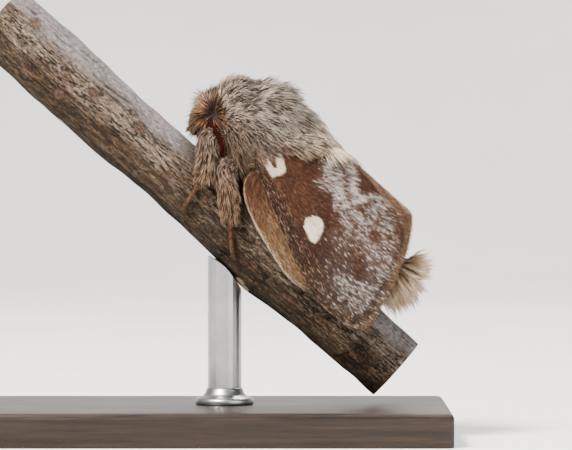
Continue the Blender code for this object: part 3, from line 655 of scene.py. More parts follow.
def strands(spines, ups, widths, flat=0.45):
    """Solid three-sided strands along spines (count, points, 3), each ending in a tip.

    Returns points, faces, how far along its strand each point is, and which strand it belongs to.
    """
    count, steps = spines.shape[:2]
    rings = steps - 1
    shape = np.interp(np.linspace(0, 1, steps)[:-1], (0, 0.35, 0.7, 1), (0.8, 1.0, 0.72, 0.3))
    points = []
    for k in range(rings):
        run = unit(spines[:, k + 1] - spines[:, max(k - 1, 0)])
        side = unit(np.cross(run, ups))
        up = np.cross(side, run)
        half = (widths * shape[k] / 2)[:, None]
        for way in (side * half, -side * half, up * half * 2 * flat):
            points.append(spines[:, k] + way)
    points.append(spines[:, -1])
    points = np.stack(points, 1)
    each = 3 * rings + 1
    pattern = [(0, 2, 1)]
    for k in range(rings - 1):
        for a in range(3):
            b = (a + 1) % 3
            pattern += [(3 * k + a, 3 * k + b, 3 * k + 3 + b), (3 * k + a, 3 * k + 3 + b, 3 * k + 3 + a)]
    last = 3 * (rings - 1)
    pattern += [(last + a, last + (a + 1) % 3, each - 1) for a in range(3)]
    faces = np.array(pattern)[None] + (np.arange(count) * each)[:, None, None]
    along = np.repeat(np.append(np.repeat(np.linspace(0, 1, steps)[:-1], 3), 1.0)[None], count, 0)
    corner = np.repeat(np.append(np.tile([0.0, 0.5, 1.0], rings), 0.5)[None], count, 0)
    owner = np.repeat(np.arange(count), each)
    return points.reshape(-1, 3), faces.reshape(-1, 3), along.ravel(), corner.ravel(), owner


# How much of the unwrap each strand takes
BAKE_PATCH = 0.003


def coat_piece(name, spines, ups, widths, material, values, unwrap, flat=0.45):
    """A piece of the coat. values has a number for each strand, unwrap where its root lies laid flat."""
    points, faces, along, corner, owner = strands(spines, ups, widths, flat)
    values = {key: numbers[owner] for key, numbers in values.items()}
    values["along"] = along
    bake = unwrap[owner] + BAKE_PATCH * (np.stack([along, corner], 1) - 0.5)
    piece(name, points, faces, material, values, np.clip(bake, 0, 1))


def drawn_together(own, middle, pull):
    """Strands drawn towards the middle one of their tuft, more so at their tips."""
    share = (np.linspace(0, 1, own.shape[2]) ** 1.3)[None, None, :, None] * pull
    return own * (1 - share) + middle[:, None] * share


def spread_in_tuft(places, ups, count, radius, rng):
    """The roots of each tuft's strands round its middle."""
    guide = unit(np.cross(ups, (0.3, 0.5, 0.81)))
    other = np.cross(ups, guide)
    turn = rng.uniform(0, 2 * math.pi, (len(places), count, 1))
    reach = radius * np.sqrt(rng.random((len(places), count, 1)))
    return places[:, None] + reach * swung(guide[:, None], other[:, None], turn)


def whorl_lie(places):
    """Which way the coat of head and thorax lies: out from the whorl on each cheek, then back."""
    lie = np.zeros_like(places)
    nearest = np.zeros((len(places), 1))
    for side in SIDES.values():
        away = places - (HEAD_CENTRE + WHORL_OFFSET * (1, side, 1))
        distance = np.linalg.norm(away, axis=1, keepdims=True)
        weight = hump(distance, WHORL_REACH)
        lie += weight * away / (distance + 0.2)
        nearest = np.maximum(nearest, weight)
    low = smooth_step(9.0, 4.0, places[:, 2:])
    back = np.concatenate([np.ones_like(low), np.zeros_like(low), -0.1 - 0.5 * low], 1)
    return lie + (1 - nearest) * back


def flow_spines(form, roots, lengths, heights, turns, lie_of):
    """Strands that leave the form's skin, follow the lie of the coat over it and rise to a height."""
    ways = unit(roots - form.centre)
    spine = []
    for k, level in enumerate(LEVELS):
        places = form.skin(ways) + ways * (heights * level)[:, None]
        spine.append(places)
        up = form.normal(ways)
        lie = lie_of(places)
        lie = unit(lie - up * dot(up, lie))
        lie = swung(lie, np.cross(up, lie), turns[:, None] * (0.7 + 0.5 * k))
        step = (lengths / (len(LEVELS) - 1))[:, None]
        ways = unit(places + lie * step - form.centre)
    return np.stack(spine, 1)


# Node materials

class Paint:
    """Builds a node material round one principled shader."""

    def __init__(self, name, roughness, sheen=0.0, specular=0.35, metallic=0.0):
        self.material = bpy.data.materials.new(name)
        self.material.use_nodes = True
        self.tree = self.material.node_tree
        self.shader = self.tree.nodes["Principled BSDF"].inputs
        self.shader["Roughness"].default_value = roughness
        self.shader["Sheen Weight"].default_value = sheen
        self.shader["Specular IOR Level"].default_value = specular
        self.shader["Metallic"].default_value = metallic

    def add(self, kind, inputs=None, **settings):
        made = self.tree.nodes.new(kind)
        for key, value in settings.items():
            setattr(made, key, value)
        for key, value in (inputs or {}).items():
            self.put(made.inputs[key], value)
        return made

    def put(self, socket, value):
        if isinstance(value, bpy.types.NodeSocket):
            self.tree.links.new(value, socket)
        elif socket.type == "RGBA":
            socket.default_value = (*value, 1.0)
        else:
            socket.default_value = value

    def number(self, name):
        return self.add("ShaderNodeAttribute", attribute_name=name).outputs["Fac"]

    def stretched(self, source, stretch, shift=(0, 0, 0)):
        inputs = {"Vector": source, "Scale": stretch, "Location": shift}
        return self.add("ShaderNodeMapping", inputs).outputs["Vector"]

    def place(self, stretch=(1, 1, 1), shift=(0, 0, 0)):
        """The twig's own millimetres, stretched."""
        source = self.add("ShaderNodeAttribute", attribute_name="place").outputs["Vector"]
        return self.stretched(source, stretch, shift)

    def own_place(self, stretch=(1, 1, 1)):
        """The object's own millimetres, stretched."""
        source = self.add("ShaderNodeTexCoord").outputs["Object"]
        return self.stretched(source, tuple(s / MM for s in stretch))

    def noise(self, place, scale, detail=3.0, rough=0.55, distortion=0.0):
        inputs = {"Vector": place, "Scale": scale, "Detail": detail, "Roughness": rough}
        return self.add("ShaderNodeTexNoise", inputs | {"Distortion": distortion}).outputs["Fac"]

    def ramp(self, factor, stops):
        made = self.add("ShaderNodeValToRGB", {"Fac": factor})
        elements = made.color_ramp.elements
        while len(elements) < len(stops):
            elements.new(0.5)
        for element, (position, colour) in zip(elements, stops):
            element.position = position
            element.color = (*colour, 1.0) if isinstance(colour, tuple) else (colour, colour, colour, 1.0)
        return made.outputs["Color"]

    def mix(self, factor, first, second, blend="MIX"):
        inputs = {0: factor, 6: first, 7: second}
        return self.add("ShaderNodeMix", inputs, data_type="RGBA", blend_type=blend).outputs[2]

    def tinted(self, base, name, factor, stops):
        """The base, painted over with a ramp as far as the value of that name says."""
        return self.mix(self.number(name), base, self.ramp(factor, stops))

    def shaded(self, base, factor, stops):
        """The base, darkened by a ramp."""
        return self.mix(1.0, base, self.ramp(factor, stops), "MULTIPLY")

    def maths(self, operation, first, second):
        return self.add("ShaderNodeMath", {0: first, 1: second}, operation=operation).outputs[0]

    def times(self, first, second):
        return self.maths("MULTIPLY", first, second)

    def bump(self, height, strength, distance, normal=None):
        inputs = {"Height": height, "Strength": strength, "Distance": distance * MM}
        if normal:
            inputs["Normal"] = normal
        bumped = self.add("ShaderNodeBump", inputs).outputs["Normal"]
        self.put(self.shader["Normal"], bumped)
        return bumped

    def colour(self, socket):
        self.put(self.shader["Base Color"], socket)

    def roughness(self, grain, smooth, rough, low=0.2, high=0.8):
        """Smooth where the grain is low, rough where it is high."""
        self.put(self.shader["Roughness"], self.ramp(grain, [(low, smooth), (high, rough)]))

    def finished(self, grain, smooth, rough, strength, distance):
        """The material, with a roughness and a small relief that follow its grain."""
        self.roughness(grain, smooth, rough)
        self.bump(grain, strength, distance)
        return self.material


# Colours from root to tip, and how dark the darkest strands are
WARM_HAIR = [(0.0, (0.035, 0.01, 0.003)), (0.45, (0.25, 0.09, 0.022)), (1.0, (0.84, 0.5, 0.19))]
CREAM_HAIR = [(0.0, (0.3, 0.2, 0.11)), (0.45, (0.7, 0.54, 0.36)), (1.0, (0.97, 0.85, 0.65))]
DARKEST_HAIR = 0.05


def fur_paint(name, colours, darkest=DARKEST_HAIR):
    """Hair, dark at its root and pale at its tip, dark and pale strands mixed, with warm and cream parts. The
    dark root is partly the hair's own colour and partly painted shade deep in the coat.
    """
    paint = Paint(name, 0.62, 0.04, 0.2)
    along = paint.number("along")
    base = paint.ramp(along, colours)
    base = paint.tinted(base, "warm", along, WARM_HAIR)
    base = paint.tinted(base, "cream", along, CREAM_HAIR)
    dark = (1.1 * darkest, 0.9 * darkest, 0.75 * darkest)
    middle = max(0.12, 1.3 * darkest)
    stops = [(0.0, dark), (0.4, (1.15 * middle, 0.95 * middle, 0.8 * middle)), (0.58, 0.88), (1.0, 1.0)]
    base = paint.shaded(base, paint.number("shade"), stops)
    patches = paint.noise(paint.place(), 0.55, 4.0)
    base = paint.shaded(base, patches, [(0.3, (0.72, 0.68, 0.65)), (0.7, 1.0)])
    # Painted shade, and the darker collar, as far as each strand's value says
    base = paint.shaded(base, paint.number("deep"), [(0.0, 1.0), (1.0, (0.42, 0.33, 0.25))])
    paint.colour(base)
    paint.roughness(paint.noise(paint.place(shift=(4, 1, 2)), 3.0), 0.5, 0.75)
    return paint.material


def skin_paint():
    """The bare skin under the coat, dark brown and warmer where the coat is, with painted shade in the middle
    of each whorl.
    """
    paint = Paint("body_skin", 0.8, 0.1, 0.2)
    grain = paint.noise(paint.place(), 4.0, 5.0)
    base = paint.ramp(grain, [(0.25, (0.018, 0.011, 0.008)), (0.75, (0.055, 0.037, 0.026))])
    base = paint.tinted(base, "warm", grain, [(0.25, (0.014, 0.005, 0.002)), (0.75, (0.04, 0.014, 0.005))])
    base = paint.tinted(base, "cream", grain, [(0.25, (0.22, 0.16, 0.1)), (0.75, (0.45, 0.37, 0.27))])
    # Painted shade in the middle of each whorl
    paint.colour(paint.shaded(base, paint.number("deep"), [(0.0, 1.0), (1.0, (0.3, 0.24, 0.2))]))
    return paint.finished(paint.noise(paint.place((6, 6, 6)), 1.6, 4.0), 0.7, 0.92, 0.6, 0.12)


def wing_material(paint, base, tips, smooth, rough):
    """The material of a wing: each scale darker towards its root, and a fine grain across the wing."""
    paint.colour(paint.shaded(base, paint.number("along"), tips))
    return paint.finished(paint.noise(paint.place((1.0, 4.0, 4.0)), 3.0, 4.0), smooth, rough, 0.35, 0.08)


FOREWING_COLOURS = {
    "plain": [(0.0, (0.012, 0.0028, 0.0008)), (0.45, (0.06, 0.017, 0.005)), (1.0, (0.21, 0.08, 0.032))],
    "tan": [(0.0, (0.07, 0.03, 0.013)), (0.5, (0.23, 0.13, 0.068)), (1.0, (0.52, 0.37, 0.22))],
    "frost": [(0.0, (0.42, 0.33, 0.25)), (0.3, (0.86, 0.78, 0.71)), (1.0, (1.0, 0.97, 0.92))],
    "spot": [(0.0, (0.4, 0.27, 0.15)), (0.35, (0.8, 0.68, 0.5)), (1.0, (0.97, 0.91, 0.78))],
}
# The dark brown of the forewing's painted shadow, its darker lower part and its dark lines
SHADOW_AND_LINE_BROWN = (0.009, 0.0022, 0.0006)


def forewing_paint():
    """Chestnut scales, white spots and a whitish dusting, with a tan fringe, and one dark brown for painted
    shadow and dark lines.
    """
    paint = Paint("forewing", 0.6, 0.0, 0.2)
    shade = paint.number("shade")
    base = paint.ramp(shade, FOREWING_COLOURS["plain"])
    patches = paint.noise(paint.place(), 0.5, 4.0)
    base = paint.shaded(base, patches, [(0.3, (0.6, 0.54, 0.5)), (0.72, 1.0)])
    # Painted shadow, the darker lower part and the dark lines, in one dark brown
    base = paint.mix(paint.times(paint.number("painted_shadow_and_lines"), 0.85), base, SHADOW_AND_LINE_BROWN)
    for name in ("tan", "frost", "spot"):
        base = paint.tinted(base, name, shade, FOREWING_COLOURS[name])
    return wing_material(paint, base, [(0.0, (0.7, 0.66, 0.64)), (0.3, 1.0)], 0.45, 0.72)


HINDWING_COLOURS = {
    "plain": [(0.0, (0.028, 0.009, 0.003)), (0.5, (0.09, 0.036, 0.014)), (1.0, (0.25, 0.125, 0.062))],
    "buff": [(0.0, (0.045, 0.02, 0.007)), (0.5, (0.18, 0.1, 0.043)), (1.0, (0.5, 0.35, 0.19))],
    "cream": [(0.0, (0.6, 0.5, 0.37)), (1.0, (0.86, 0.78, 0.66))],
}
# The dark brown of the hindwing's painted shade under the tip of the forewing
HINDWING_SHADE_BROWN = (0.012, 0.0045, 0.002)


def hindwing_paint():
    """Warm brown at the front to ochre-buff behind, with a cream edge, and painted shade at the far end."""
    paint = Paint("hindwing", 0.65, 0.0, 0.2)
    shade = paint.number("shade")
    base = paint.ramp(shade, HINDWING_COLOURS["plain"])
    for name in ("buff", "cream"):
        base = paint.tinted(base, name, shade, HINDWING_COLOURS[name])
    # Painted shade under the tip of the forewing
    base = paint.mix(paint.times(paint.number("dark"), 0.8), base, HINDWING_SHADE_BROWN)
    return wing_material(paint, base, [(0.0, (0.62, 0.58, 0.55)), (0.6, 1.0)], 0.5, 0.75)


def antenna_paint():
    """Dark red-brown of the feelers."""
    paint = Paint("antenna", 0.7, 0.0, 0.04)
    grain = paint.noise(paint.place(), 5.0, 4.0)
    paint.colour(paint.ramp(grain, [(0.25, (0.005, 0.0006, 0.0002)), (0.75, (0.026, 0.0032, 0.0009))]))
    return paint.finished(grain, 0.55, 0.8, 0.4, 0.05)


def tarsus_paint():
    """Horny red-orange brown of the feet, darker at the joints."""
    paint = Paint("tarsus", 0.45, 0.0, 0.25)
    grain = paint.noise(paint.place(), 4.0, 4.0)
    base = paint.ramp(grain, [(0.25, (0.035, 0.012, 0.0045)), (0.75, (0.12, 0.046, 0.019))])
    paint.colour(paint.shaded(base, paint.number("joint"), [(0.0, 1.0), (1.0, (0.3, 0.22, 0.18))]))
    return paint.finished(grain, 0.32, 0.6, 0.4, 0.05)


def eye_paint():
    """A dark glossy compound eye with its fine facets."""
    paint = Paint("eye", 0.3, 0.0, 0.25)
    inputs = {"Vector": paint.place(), "Scale": 14.0, "Randomness": 0.25}
    facets = paint.add("ShaderNodeTexVoronoi", inputs).outputs["Distance"]
    paint.colour(paint.ramp(facets, [(0.0, (0.012, 0.008, 0.006)), (0.7, (0.003, 0.002, 0.0015))]))
    paint.roughness(facets, 0.25, 0.45, 0.0, 0.7)
    paint.bump(facets, 0.3, -0.02)
    return paint.material


BARK_COLOURS = {
    "crown": [
        (0.3, (0.05, 0.038, 0.033)), (0.44, (0.13, 0.108, 0.1)),
        (0.56, (0.23, 0.2, 0.192)), (0.72, (0.42, 0.385, 0.37)),
    ],
    "ridged": [
        (0.32, (0.014, 0.009, 0.006)), (0.43, (0.07, 0.046, 0.03)),
        (0.53, (0.19, 0.14, 0.103)), (0.68, (0.48, 0.4, 0.33)),
    ],
    "flank": [
        (0.34, (0.006, 0.0035, 0.002)), (0.46, (0.036, 0.02, 0.01)),
        (0.55, (0.088, 0.055, 0.03)), (0.68, (0.28, 0.2, 0.13)),
    ],
    # Painted shade on the underside, in dark olive
    "under": [(0.34, (0.003, 0.002, 0.001)), (0.5, (0.014, 0.01, 0.0045)), (0.7, (0.07, 0.052, 0.027))],
    "red": [(0.34, (0.02, 0.006, 0.003)), (0.52, (0.095, 0.04, 0.023)), (0.7, (0.28, 0.155, 0.105))],
    "scar": [(0.36, (0.012, 0.006, 0.0035)), (0.52, (0.085, 0.048, 0.03)), (0.68, (0.25, 0.165, 0.115))],
    "crust": [(0.35, (0.2, 0.13, 0.05)), (0.6, (0.62, 0.5, 0.29))],
}
CRACK_BROWN = (0.012, 0.008, 0.005)


def bark_paint():
    """Grey-lilac bark above, ochre brown with fine dark cracks on the flanks, and painted shade in dark olive
    on the underside.
    """
    paint = Paint("bark", 0.85, 0.0, 0.15)
    mottle = paint.noise(paint.place((2.6, 3.4, 3.4)), 1.0, 12.0, 0.75)
    grain = paint.noise(paint.place((3.0, 11.0, 11.0)), 1.0, 6.0, 0.7)
    broad = paint.noise(paint.place((0.5, 2.2, 2.2), (5, 2, 7)), 1.0, 4.0, 0.6)
    grain = paint.maths("ADD", paint.times(grain, 0.72), paint.times(broad, 0.28))
    base = paint.ramp(mottle, BARK_COLOURS["crown"])
    # The last of these is painted shade on the underside, and under the moth all three carry its painted
    # shadow
    for name in ("ridged", "flank", "under"):
        base = paint.tinted(base, name, grain, BARK_COLOURS[name])
    tint = paint.noise(paint.place((0.6, 1, 1), (9, 3, 1)), 0.6, 5.0, 0.65)
    redness = paint.times(paint.ramp(tint, [(0.54, 0.0), (0.68, 0.6)]), paint.number("ridged"))
    base = paint.mix(redness, base, paint.ramp(grain, BARK_COLOURS["red"]))
    line = paint.noise(paint.place((0.3, 2.2, 2.2), (1, 5, 8)), 1.0, 6.0, 0.66)
    line = paint.maths("ABSOLUTE", paint.maths("SUBTRACT", line, 0.5), 0.0)
    line = paint.ramp(line, [(0.0, 1.0), (0.018, 1.0), (0.04, 0.0)])
    breaks = paint.noise(paint.place((1.2, 2, 2), (3, 3, 3)), 1.0, 2.0)
    breaks = paint.ramp(breaks, [(0.36, 0.0), (0.46, 1.0)])
    cracked = paint.times(paint.times(line, paint.number("ridged")), breaks)
    base = paint.mix(cracked, base, CRACK_BROWN)
    base = paint.tinted(base, "scar", grain, BARK_COLOURS["scar"])
    base = paint.tinted(base, "crust", mottle, BARK_COLOURS["crust"])
    paint.colour(paint.mix(paint.number("furrow"), base, CRACK_BROWN))
    paint.roughness(paint.noise(paint.place((5, 7, 7)), 1.6, 4.0), 0.75, 0.95)
    first = paint.bump(grain, 1.0, 0.35)
    second = paint.bump(cracked, 0.8, -0.15, first)
    paint.bump(mottle, 0.6, 0.2, second)
    return paint.material


def end_grain_paint():
    """The cut end of the twig: pale wood with rings and rays inside the bark."""
    paint = Paint("twig_end", 0.8, 0.0, 0.2)
    inputs = {"Vector": paint.place(), "Scale": 0.9, "Distortion": 1.2, "Detail": 3.0, "Detail Scale": 1.5}
    rings = paint.add("ShaderNodeTexWave", inputs, wave_type="RINGS", rings_direction="X").outputs["Fac"]
    base = paint.ramp(rings, [(0.0, (0.3, 0.19, 0.1)), (1.0, (0.52, 0.38, 0.23))])
    fine = paint.noise(paint.place((1, 5, 5)), 2.0, 5.0)
    base = paint.mix(0.4, base, paint.ramp(fine, [(0.3, (0.2, 0.12, 0.06)), (0.7, (0.6, 0.46, 0.3))]))
    paint.colour(paint.mix(paint.number("rim"), base, (0.1, 0.065, 0.04)))
    paint.bump(fine, 0.5, 0.1)
    return paint.material


def base_paint():
    """Dark stained wood with a satin finish."""
    paint = Paint("stand_base", 0.42, 0.0, 0.3)
    grain = paint.noise(paint.own_place((0.07, 1.0, 1.6)), 1.3, 8.0, 0.6, 0.6)
    pores = paint.noise(paint.own_place((0.5, 7.0, 7.0)), 1.0, 4.0)
    wood = [(0.3, (0.006, 0.0035, 0.002)), (0.52, (0.016, 0.0085, 0.0048)), (0.75, (0.034, 0.018, 0.01))]
    base = paint.ramp(grain, wood)
    paint.colour(paint.mix(paint.ramp(pores, [(0.3, 0.7), (0.42, 0.0)]), base, CRACK_BROWN))
    paint.roughness(grain, 0.32, 0.5)
    paint.bump(pores, 0.2, 0.1)
    return paint.material


def steel_paint(name):
    """Brushed steel."""
    paint = Paint(name, 0.3, metallic=1.0)
    clouds = paint.noise(paint.own_place(), 0.5, 3.0)
    paint.colour(paint.ramp(clouds, [(0.2, (0.3, 0.3, 0.3)), (0.8, (0.42, 0.42, 0.42))]))
    lines = paint.noise(paint.own_place((1.0, 1.0, 14.0)), 1.6, 5.0, 0.6)
    return paint.finished(lines, 0.24, 0.42, 0.15, 0.02)


def floor_paint():
    """Pale, slightly clouded paper."""
    paint = Paint("floor", 0.7, 0.0, 0.3)
    clouds = paint.noise(paint.own_place(), 0.02, 3.0)
    paint.colour(paint.ramp(clouds, [(0.3, (0.72, 0.71, 0.69)), (0.7, (0.78, 0.77, 0.75))]))
    paint.roughness(paint.noise(paint.own_place(), 2.0, 3.0), 0.65, 0.8)
    return paint.material


# The soft body: one skin, and the coat on it

def whorl_gap(places):
    """Distance from the middle of the whorl on each cheek."""
    mirrored_over = places * (1, 0, 1) + np.abs(places) * (0, 1, 0)
    return np.linalg.norm(mirrored_over - HEAD_CENTRE - WHORL_OFFSET, axis=1)


def warmth(places):
    """How orange-brown the coat is: round the whorl on each cheek, and under the head."""
    z = places[:, 2]
    ring = 1.1 * hump(whorl_gap(places), 0.62) * (1 - 0.7 * smooth_step(6.3, 7.1, z))
    return np.clip(ring + 0.2 * smooth_step(5.5, 3.5, z), 0, 1)


def creaminess(places):
    """How cream the coat is: the tuft behind the thorax, between the wings."""
    x, _, z = places.T
    return smooth_step(-4.8, -3.4, x) * smooth_step(8.9, 9.9, z) * smooth_step(5, 2, x)


def body_limbs():
    """The thighs and shins, and the palps."""
    limbs = {}
    for word, side in SIDES.items():
        for name, leg in LEGS.items():
            limbs[f"{name}_{word}"] = Limb(mirrored(leg["shin"], THORAX_CENTRE, side))
        limbs[f"palp_{word}"] = Limb(mirrored(PALP, HEAD_CENTRE, side))
    return limbs


BODY_FORMS = {"thorax": THORAX, "head": HEAD, "abdomen": ABDOMEN, "tuft": TUFT}


def make_skin(limbs):
    """One skin over body, palps and upper legs, which stands for all the flesh nodes."""
    forms = [form.mesh() for form in (*BODY_FORMS.values(), *limbs.values())]
    points, faces = remeshed(*joined(forms), SKIN_VOXEL)
    points = under_wings(relaxed(points, faces, 6))
    # Painted shade: the skin darker in the middle of each whorl, where it shows between the hair
    deep = smooth_step(0.5, 0.25, whorl_gap(points))
    values = {"warm": warmth(points), "cream": creaminess(points), "deep": deep}
    skin = piece("body_skin", points, faces, skin_paint(), values)
    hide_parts(*FLESH)
    return points, faces


def body_unwrap(places):
    """The skin laid flat: along the body, and round it from the underside."""
    x, y, z = places.T
    axis = np.interp(x, (-12, -6, 0, 13), (5.6, 7.0, 6.6, 6.3))
    return np.stack([0.02 + 0.96 * (x + 13.5) / 28, 0.5 + 0.48 * np.arctan2(y, z - axis) / math.pi], 1)


def eye_gap(places):
    """How far outside the nearer eye each place is."""
    middles = [HEAD_CENTRE + EYE_OFFSET * (1, side, 1) for side in SIDES.values()]
    return np.min([np.linalg.norm(places - middle, axis=1) for middle in middles], axis=0) - EYE_RADIUS


class Roots:
    """Places on the skin where hair may grow, with the way out at each and the form or limb it is on."""

    COUNT = 90000
    EYE_CLEARANCE = 0.12

    def __init__(self, points, faces, limbs, rng):
        self.limbs = limbs
        self.places, self.ups = scatter(points, faces, vertex_normals(points, faces), self.COUNT, rng)
        gaps = [form.outside(self.places) for form in BODY_FORMS.values()]
        gaps += [limb.nearest(self.places)[1] for limb in limbs.values()]
        self.part = np.array([*BODY_FORMS, *limbs])[np.abs(np.array(gaps)).argmin(0)]
        for name, limb in limbs.items():
            if "leg" in name:
                near_hip = limb.nearest(self.places)[0] < hair_start(name)
                self.part[(self.part == name) & near_hip] = "thorax"
        self.clear_of_eye = eye_gap(self.places) > self.EYE_CLEARANCE

    def chosen(self, mask, spacing):
        index = np.flatnonzero(mask)
        return index[thinned(self.places[index], spacing)]


def hair_start(limb_name):
    """The length along a limb at which its own hair begins."""
    leg = LEGS.get(limb_name.split("_")[0])
    return leg["hair_from"] if leg else -math.inf


def tufted(places, ups, kind, rng, spines_of):
    """Strands in tufts, and the tuft that each belongs to.

    spines_of makes each strand's spine from its root, its share of the full length, the angle by which it
    strays from the tuft's way and the tuft's number.
    """
    count = strand_count(kind)
    roots = spread_in_tuft(places, ups, count, 0.9 * HAIR[kind]["spacing"], rng)
    tufts = len(places)
    factor = rng.uniform(0.6, 1.15, (tufts, count))
    stray = rng.normal(0, 0.15, (tufts, count))
    owner = np.repeat(np.arange(tufts), count)
    own = spines_of(roots.reshape(-1, 3), factor.ravel(), stray.ravel(), owner)
    middle = spines_of(places, np.ones(tufts), np.zeros(tufts), np.arange(tufts))
    steps = own.shape[1]
    spines = drawn_together(own.reshape(tufts, count, steps, 3), middle, HAIR[kind]["pull"])
    return spines.reshape(-1, steps, 3), owner


def painted_shade_and_collar_tone(roots):
    """Painted shade on the coat: darker low on the flanks and round the eyes. The collar is darker too."""
    x, _, z = roots.T
    low = smooth_step(8.8, 5.6, z) * smooth_step(-12.0, -9.0, x)
    collar = 0.6 * smooth_step(-9.9, -10.7, x) * smooth_step(6.9, 7.9, z)
    return np.max([low, collar, smooth_step(0.8, 0.1, eye_gap(roots))], axis=0)


def strand_values(roots, rng, **given):
    """What the paint needs to know of each strand. Dark and pale strands are mixed, and so are tufts."""
    tuft_shade = 0.5 + 1.3 * field(roots, 5.5, 8.0)
    values = {
        # Painted shade, with the darker collar
        "deep": painted_shade_and_collar_tone(roots),
        "shade": np.clip(0.6 * rng.random(len(roots)) + 0.4 * tuft_shade, 0, 1),
        "warm": warmth(roots),
        "cream": creaminess(roots),
    }
    return values | {key: np.zeros(len(roots)) + value for key, value in given.items()}


# Tufts on each part: the gap between them, the strands in each and their length, height and width in
# millimetres, and how far the strands are drawn together
HAIR = {
    "thorax": {"spacing": 0.175, "strands": 11, "length": 1.5, "height": 0.95, "width": 0.084, "pull": 0.12},
    "head": {"spacing": 0.13, "strands": 9, "length": 1.2, "height": 0.8, "width": 0.064, "pull": 0.2},
    "abdomen": {"spacing": 0.42, "strands": 7, "length": 1.4, "height": 0.4, "width": 0.09, "pull": 0.5},
    "palp": {"spacing": 0.12, "strands": 9, "length": 0.5, "height": 0.2, "width": 0.056, "pull": 0.2},
    "leg": {"spacing": 0.19, "strands": 9, "length": 1.0, "height": 0.5, "width": 0.066, "pull": 0.15},
    "tuft": {"spacing": 0.12, "strands": 11, "width": 0.06, "pull": 0.3},
}
# The cream hair and the hair at the wing roots
LONG_HAIR_WIDTH = 0.08
# Colours of each part's hair from root to tip: the dark roots are partly the hair's own colour and partly
# painted shade deep in the coat
FUR_COLOURS = {
    "thorax": [
        (0.0, (0.01, 0.005, 0.0025)), (0.46, (0.07, 0.04, 0.025)),
        (0.72, (0.6, 0.48, 0.37)), (1.0, (1.0, 0.94, 0.85)),
    ],
    "head": [
        (0.0, (0.012, 0.005, 0.002)), (0.45, (0.065, 0.033, 0.016)),
        (0.75, (0.32, 0.21, 0.125)), (1.0, (0.82, 0.67, 0.48)),
    ],
    "abdomen": [(0.0, (0.05, 0.027, 0.013)), (0.5, (0.17, 0.105, 0.058)), (1.0, (0.55, 0.42, 0.28))],
    "leg": [
        (0.0, (0.016, 0.007, 0.0035)), (0.4, (0.08, 0.042, 0.025)),
        (0.75, (0.36, 0.25, 0.185)), (1.0, (0.85, 0.7, 0.57)),
    ],
    "tuft": [
        (0.0, (0.26, 0.17, 0.1)), (0.35, (0.5, 0.37, 0.24)),
        (0.7, (0.74, 0.61, 0.44)), (1.0, (0.95, 0.86, 0.69)),
    ],
}
DARKEST_STRAND = {"tuft": 0.62, "abdomen": 0.3}
# How far strands of the coat rise at their root, middle and tip, as shares of their height
LEVELS = (-0.12, 0.7, 1.0)


def strand_count(kind):
    count = HAIR[kind]["strands"]
    return count


def fur_piece(name, spines, ups, roots, width, paint, slot, rng, unwrap=None, thinnest=0.7, **given):
    """A piece of fur, its strands' widths drawn at random. given replaces what is usual for their colours."""
    widths = width * rng.uniform(thinnest, 1.2, len(spines))
    values = strand_values(roots, rng, **given)
    unwrap = body_unwrap(roots) if unwrap is None else unwrap
    coat_piece(name, spines, ups, widths, paint, values, unwrap)


def growth(kind, places):
    """How long and how high the coat grows at each place against its usual size.

    It is short on the face, stands up in a collar behind the head and hangs as a skirt over the wing roots.
    """
    x, y, z = places.T
    collar = smooth_step(-9.6, -10.6, x) * smooth_step(7.0, 8.0, z) * smooth_step(10.3, 9.3, z)
    nape = smooth_step(-10.4, -9.3, x) * smooth_step(-6.4, -7.6, x) * smooth_step(9.0, 10.0, z)
    longer, higher = 1 - 0.3 * collar, 1 + 0.25 * collar + 0.75 * nape
    if kind == "head":
        face = smooth_step(-10.9, -11.6, x) * smooth_step(6.8, 6.0, z)
        brim = smooth_step(-11.0, -11.6, x) * smooth_step(6.4, 6.9, z)
        centre = smooth_step(0.6, 0.1, whorl_gap(places))
        over_antenna = hump(x + 10.35, 0.7) * hump(z - 5.75, 0.55) * smooth_step(0.8, 1.4, np.abs(y))
        longer = longer * (1 - 0.55 * face) * (1 - 0.45 * centre) * (1 + 0.6 * over_antenna)
        higher = higher * (1.3 + 0.8 * smooth_step(6.4, 7.4, z) - 0.85 * smooth_step(6.6, 4.8, z))
        higher = higher * (1 - 0.45 * face) * (1 + 0.3 * brim) * (1 + 2.2 * over_antenna)
    if kind == "thorax":
        higher = higher * (1 - 0.3 * smooth_step(-10.5, -11.1, x) * smooth_step(9.2, 9.9, z))
        skirt = smooth_step(6.5, 4.5, z)
        longer, higher = longer + 0.2 * skirt, higher + 0.8 * skirt
    return longer, higher


def flowing_coat(name, kind, places, ups, paint, rng, lie_of=whorl_lie, under=False):
    """The coat of a body form, lying over its skin: low where it is under the wings, else over them."""
    sizes = HAIR[kind]
    longer, higher = growth(kind, places)
    lengths = sizes["length"] * longer * rng.uniform(0.85, 1.15, len(places))
    heights = sizes["height"] * higher * rng.uniform(0.75, 1.15, len(places))
    turns = rng.normal(0, 0.1, len(places))
    under = np.broadcast_to(under, len(places))
    heights = np.where(under, HEIGHT_UNDER_WINGS, heights)

    def spines_of(roots, factor, stray, owner):
        long, high = lengths[owner] * factor, heights[owner] * factor
        return flow_spines(BODY_FORMS[kind], roots, long, high, turns[owner] + stray, lie_of)

    spines, owner = tufted(places, ups, kind, rng, spines_of)
    spines = np.where(under[owner][:, None, None], under_wings(spines), over_wings(spines))
    fur_piece(name, spines, ups[owner], places[owner], sizes["width"], paint, f"{kind}_fur", rng)


